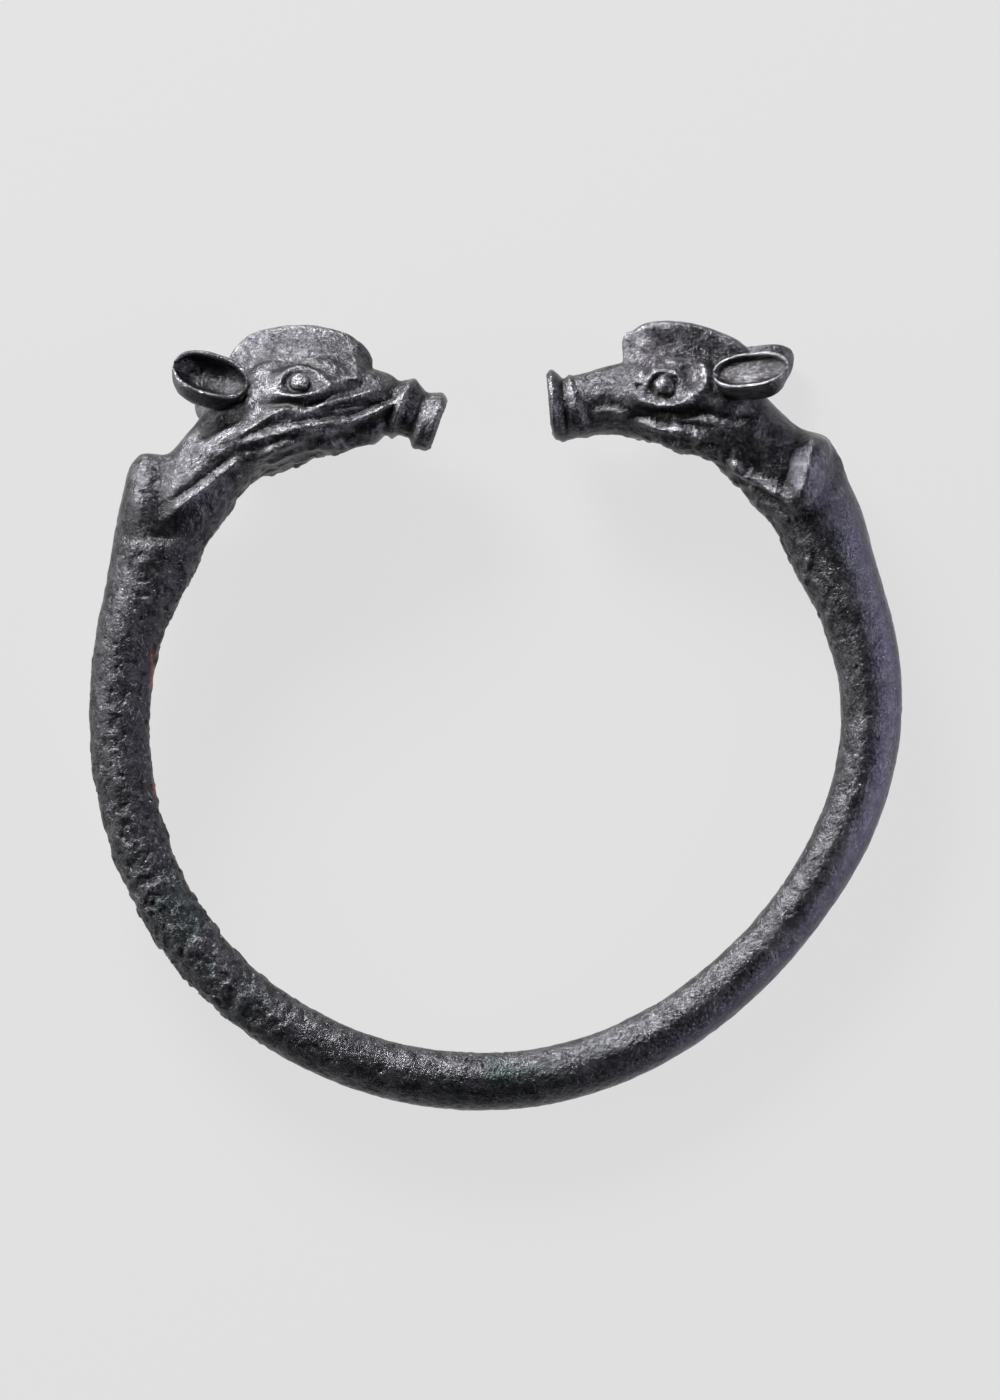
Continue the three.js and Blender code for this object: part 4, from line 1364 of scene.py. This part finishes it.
    def material(self) -> bpy.types.Material:
        """Builds the finish.

        Returns:
            A node material that reads Object coordinates and the casting's marks.
        """
        material = bpy.data.materials.new("dark_bronze_patina")
        material.use_nodes = True
        tree = material.node_tree
        tree.nodes.clear()
        nodes = Nodes(tree)
        output = nodes.new("ShaderNodeOutputMaterial")
        shader = nodes.new("ShaderNodeBsdfPrincipled")
        shader.inputs["Metallic"].default_value = self.metallic
        tree.links.new(shader.outputs["BSDF"], output.inputs["Surface"])
        tree.links.new(self.colour(nodes), shader.inputs["Base Color"])
        tree.links.new(self.gloss(nodes), shader.inputs["Roughness"])
        bump = nodes.new("ShaderNodeBump")
        bump.inputs["Strength"].default_value = self.grain_strength
        bump.inputs["Distance"].default_value = self.grain_depth
        tree.links.new(self.height(nodes), bump.inputs["Height"])
        tree.links.new(bump.outputs["Normal"], shader.inputs["Normal"])
        return material


class Nodes:
    """Short ways to place shader nodes and link them."""

    def __init__(self, tree: bpy.types.NodeTree) -> None:
        """Keeps the tree that the nodes go into, and adds the Object coordinates."""
        self.tree = tree
        self.place = self.new("ShaderNodeTexCoord").outputs["Object"]

    def new(self, kind: str) -> bpy.types.Node:
        """A new node of a kind."""
        return self.tree.nodes.new(kind)

    def feed(self, socket: Socket, value: object) -> None:
        """Links a socket to another, or sets its number or colour.

        Args:
            socket: the input.
            value: an output socket, a number, or three shares of a colour.
        """
        if isinstance(value, Socket):
            self.tree.links.new(value, socket)
        elif isinstance(value, tuple):
            socket.default_value = (*value, 1.0)
        else:
            socket.default_value = value

    def math(self, operation: str, a: object, b: object) -> Socket:
        """A sum, product or other operation of two values."""
        node = self.new("ShaderNodeMath")
        node.operation = operation
        self.feed(node.inputs[0], a)
        self.feed(node.inputs[1], b)
        return node.outputs[0]

    def plus(self, a: object, b: object) -> Socket:
        """The sum of two values."""
        return self.math("ADD", a, b)

    def times(self, a: object, b: object) -> Socket:
        """The product of two values."""
        return self.math("MULTIPLY", a, b)

    def clamp(self, value: object) -> Socket:
        """A value held between 0 and 1."""
        node = self.new("ShaderNodeClamp")
        self.feed(node.inputs["Value"], value)
        return node.outputs[0]

    def mix(self, share: object, a: object, b: object) -> Socket:
        """A colour between two others."""
        node = self.new("ShaderNodeMix")
        node.data_type = "RGBA"
        self.feed(node.inputs["Factor"], share)
        self.feed(node.inputs[6], a)
        self.feed(node.inputs[7], b)
        return node.outputs[2]

    def noise(self, texture: Texture) -> Socket:
        """Noise over the Object coordinates, from 0 to 1.

        Args:
            texture: its scale and octaves.

        Returns:
            The noise's value.
        """
        node = self.new("ShaderNodeTexNoise")
        node.inputs["Scale"].default_value = texture.scale
        node.inputs["Detail"].default_value = texture.detail
        node.inputs["Roughness"].default_value = texture.roughness
        self.tree.links.new(self.place, node.inputs["Vector"])
        return node.outputs["Fac"]

    def ramp(self, value: Socket, low: float, high: float) -> Socket:
        """A value spread from 0 at low to 1 at high."""
        node = self.new("ShaderNodeMapRange")
        node.interpolation_type = "SMOOTHSTEP"
        node.inputs["From Min"].default_value = low
        node.inputs["From Max"].default_value = high
        self.tree.links.new(value, node.inputs["Value"])
        return node.outputs[0]

    def contour(self, value: Socket, width: float) -> Socket:
        """A thin line where a noise crosses its middle value: 1 on the line, 0 a width away."""
        away = self.math("ABSOLUTE", self.math("SUBTRACT", value, 0.5), 0.0)
        return self.math("SUBTRACT", 1.0, self.ramp(away, 0.0, width))

    def mark(self, mark: Mark) -> Socket:
        """A number that the casting carries at each point."""
        node = self.new("ShaderNodeAttribute")
        node.attribute_type = "GEOMETRY"
        node.attribute_name = mark.value
        return node.outputs["Fac"]


@dataclass(frozen=True)
class Softbox:
    """A square soft light, in metres from the middle of the bracelet."""

    name: str
    place: Point
    width: float
    height: float
    power: float
    colour: Colour = (1.0, 1.0, 1.0)

    def build(self) -> None:
        """Places the light, facing the bracelet."""
        data = bpy.data.lights.new(self.name, "AREA")
        data.shape = "RECTANGLE"
        data.size, data.size_y = self.width, self.height
        data.energy = self.power
        data.color = self.colour
        back = unit(np.array(self.place))
        right = unit(np.cross([0.0, 0.0, 1.0], back))
        up = np.cross(back, right)
        light = placed(self.name, data)
        light.matrix_world = matrix_of(np.stack([right, up, back], axis=1), self.place)


@dataclass(frozen=True)
class Studio:
    """Plain pale floor, dim room, softboxes and a camera square to the hoop's plane."""

    floor_half: float = 1.5
    floor_glow: float = 0.695
    floor_colour: Colour = (0.03, 0.03, 0.03)
    room: Colour = (0.02, 0.02, 0.02)
    aim: Point = (0.4, 0.4, 0.0)
    view_height: float = 140.0
    sensor_height: float = 24.0
    lens: float = 180.0
    lights: tuple[Softbox, ...] = (
        Softbox("key_softbox", (-0.27, 0.55, 0.27), 0.32, 0.15, 15.0),
        Softbox("left_fill", (-0.60, 0.08, 0.23), 0.40, 0.20, 3.0),
        Softbox("violet_fill", (0.60, -0.08, 0.25), 0.40, 0.18, 2.8, (0.87, 0.85, 1.0)),
    )

    def floor(self) -> None:
        """The floor, which glows a little so that it stays even and nearly without shadow."""
        half = self.floor_half
        corners = np.array([[-half, -half, 0], [half, -half, 0], [half, half, 0], [-half, half, 0]])
        mesh = mesh_of("floor", corners, np.array([[0, 1, 2], [0, 2, 3]]))
        floor = placed("floor", mesh)
        material = bpy.data.materials.new("pale_floor")
        material.use_nodes = True
        shader = material.node_tree.nodes["Principled BSDF"]
        shader.inputs["Base Color"].default_value = (*self.floor_colour, 1.0)
        shader.inputs["Roughness"].default_value = 0.9
        shader.inputs["Specular IOR Level"].default_value = 0.1
        shader.inputs["Emission Color"].default_value = (1.0, 1.0, 1.0, 1.0)
        shader.inputs["Emission Strength"].default_value = self.floor_glow
        mesh.materials.append(material)

    def camera(self, rest: tuple[Array, Array]) -> None:
        """Camera that looks square at the hoop's plane, heads up, from the lens's distance.

        Args:
            rest: the turn and shift that lay the hoop's plane down.
        """
        turn, shift = rest
        distance = self.view_height * self.lens / self.sensor_height
        place = (turn @ (np.array(self.aim) + [0.0, 0.0, distance]) + shift) * MILLIMETRE
        data = bpy.data.cameras.new("camera")
        data.sensor_fit = "VERTICAL"
        data.sensor_height = self.sensor_height
        data.lens = self.lens
        data.clip_end = 10.0
        camera = placed("camera", data)
        camera.matrix_world = matrix_of(turn, place)
        bpy.context.scene.camera = camera

    def build(self, rest: tuple[Array, Array]) -> None:
        """Sets up floor, room, lights and camera.

        Args:
            rest: the turn and shift that lay the hoop's plane down.
        """
        self.floor()
        world = bpy.data.worlds.new("room")
        world.use_nodes = True
        background = world.node_tree.nodes["Background"]
        background.inputs["Color"].default_value = (*self.room, 1.0)
        bpy.context.scene.world = world
        for light in self.lights:
            light.build()
        self.camera(rest)
        bpy.context.scene.view_settings.view_transform = "Standard"


def make_bracelet() -> Bracelet:
    """The bracelet with its two heads, as they differ."""
    bar = Bar()
    right = BoarHead(
        name="right",
        side=1,
        half_gap=5.3,
        roll=7.5,
        pitch=14.0,
        core=RIGHT_CORE,
        rings=(Ring(0.6, 0, 0.45, 0.3), Ring(1.9, 0.2, 0.45, -0.35), Ring(3.3, 0.4, 0.5, 0.25)),
        strokes=RIGHT_STROKES,
        crest=RIGHT_CREST,
        eye=(12.3, 2.0),
        ears=EarSet(
            t=16.3, v=4.2, l=4.0, rise=23, splay=12, look_up=42, far_share=1.05,
            half_width=2.2, hollow=0.3, belly=1.0, wall=0.55,
        ),
        bar=bar,
    )
    left = BoarHead(
        name="left",
        side=-1,
        half_gap=5.6,
        roll=-16.0,
        pitch=-7.0,
        core=LEFT_CORE,
        rings=(
            Ring(0.7, 0, 0.5, 0.3),
            Ring(2.1, 0.5, 0.5, -0.35),
            Ring(3.4, 1.6, 0.45, 0.45),
            Ring(4.8, 1.2, 0.5, -0.25),
        ),
        strokes=LEFT_STROKES,
        crest=LEFT_CREST,
        eye=(14.4, 2.0),
        ears=EarSet(
            t=18.4, v=3.2, l=4.1, rise=38, splay=12, look_up=18, far_share=0.88,
            half_width=2.6, hollow=0.75, belly=1.3, wall=0.65,
        ),
        bar=bar,
    )
    return Bracelet(bar, right, left, Weathering(bar.hoop_radius))


def main() -> None:
    """Builds the bracelet and its studio."""
    logging.basicConfig(level=logging.INFO, format="%(name)s: %(message)s")
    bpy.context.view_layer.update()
    bracelet = make_bracelet()
    piece = bracelet.build()
    piece.data.materials.clear()
    piece.data.materials.append(DarkBronze().material())
    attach(piece, "root")
    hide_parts(NODE)
    log.info("%s: %d triangles", piece.name, len(piece.data.polygons))
    Studio().build(bracelet.rest)
    log.info("studio: floor, room, softboxes and camera")


if __name__ == "__main__":
    main()
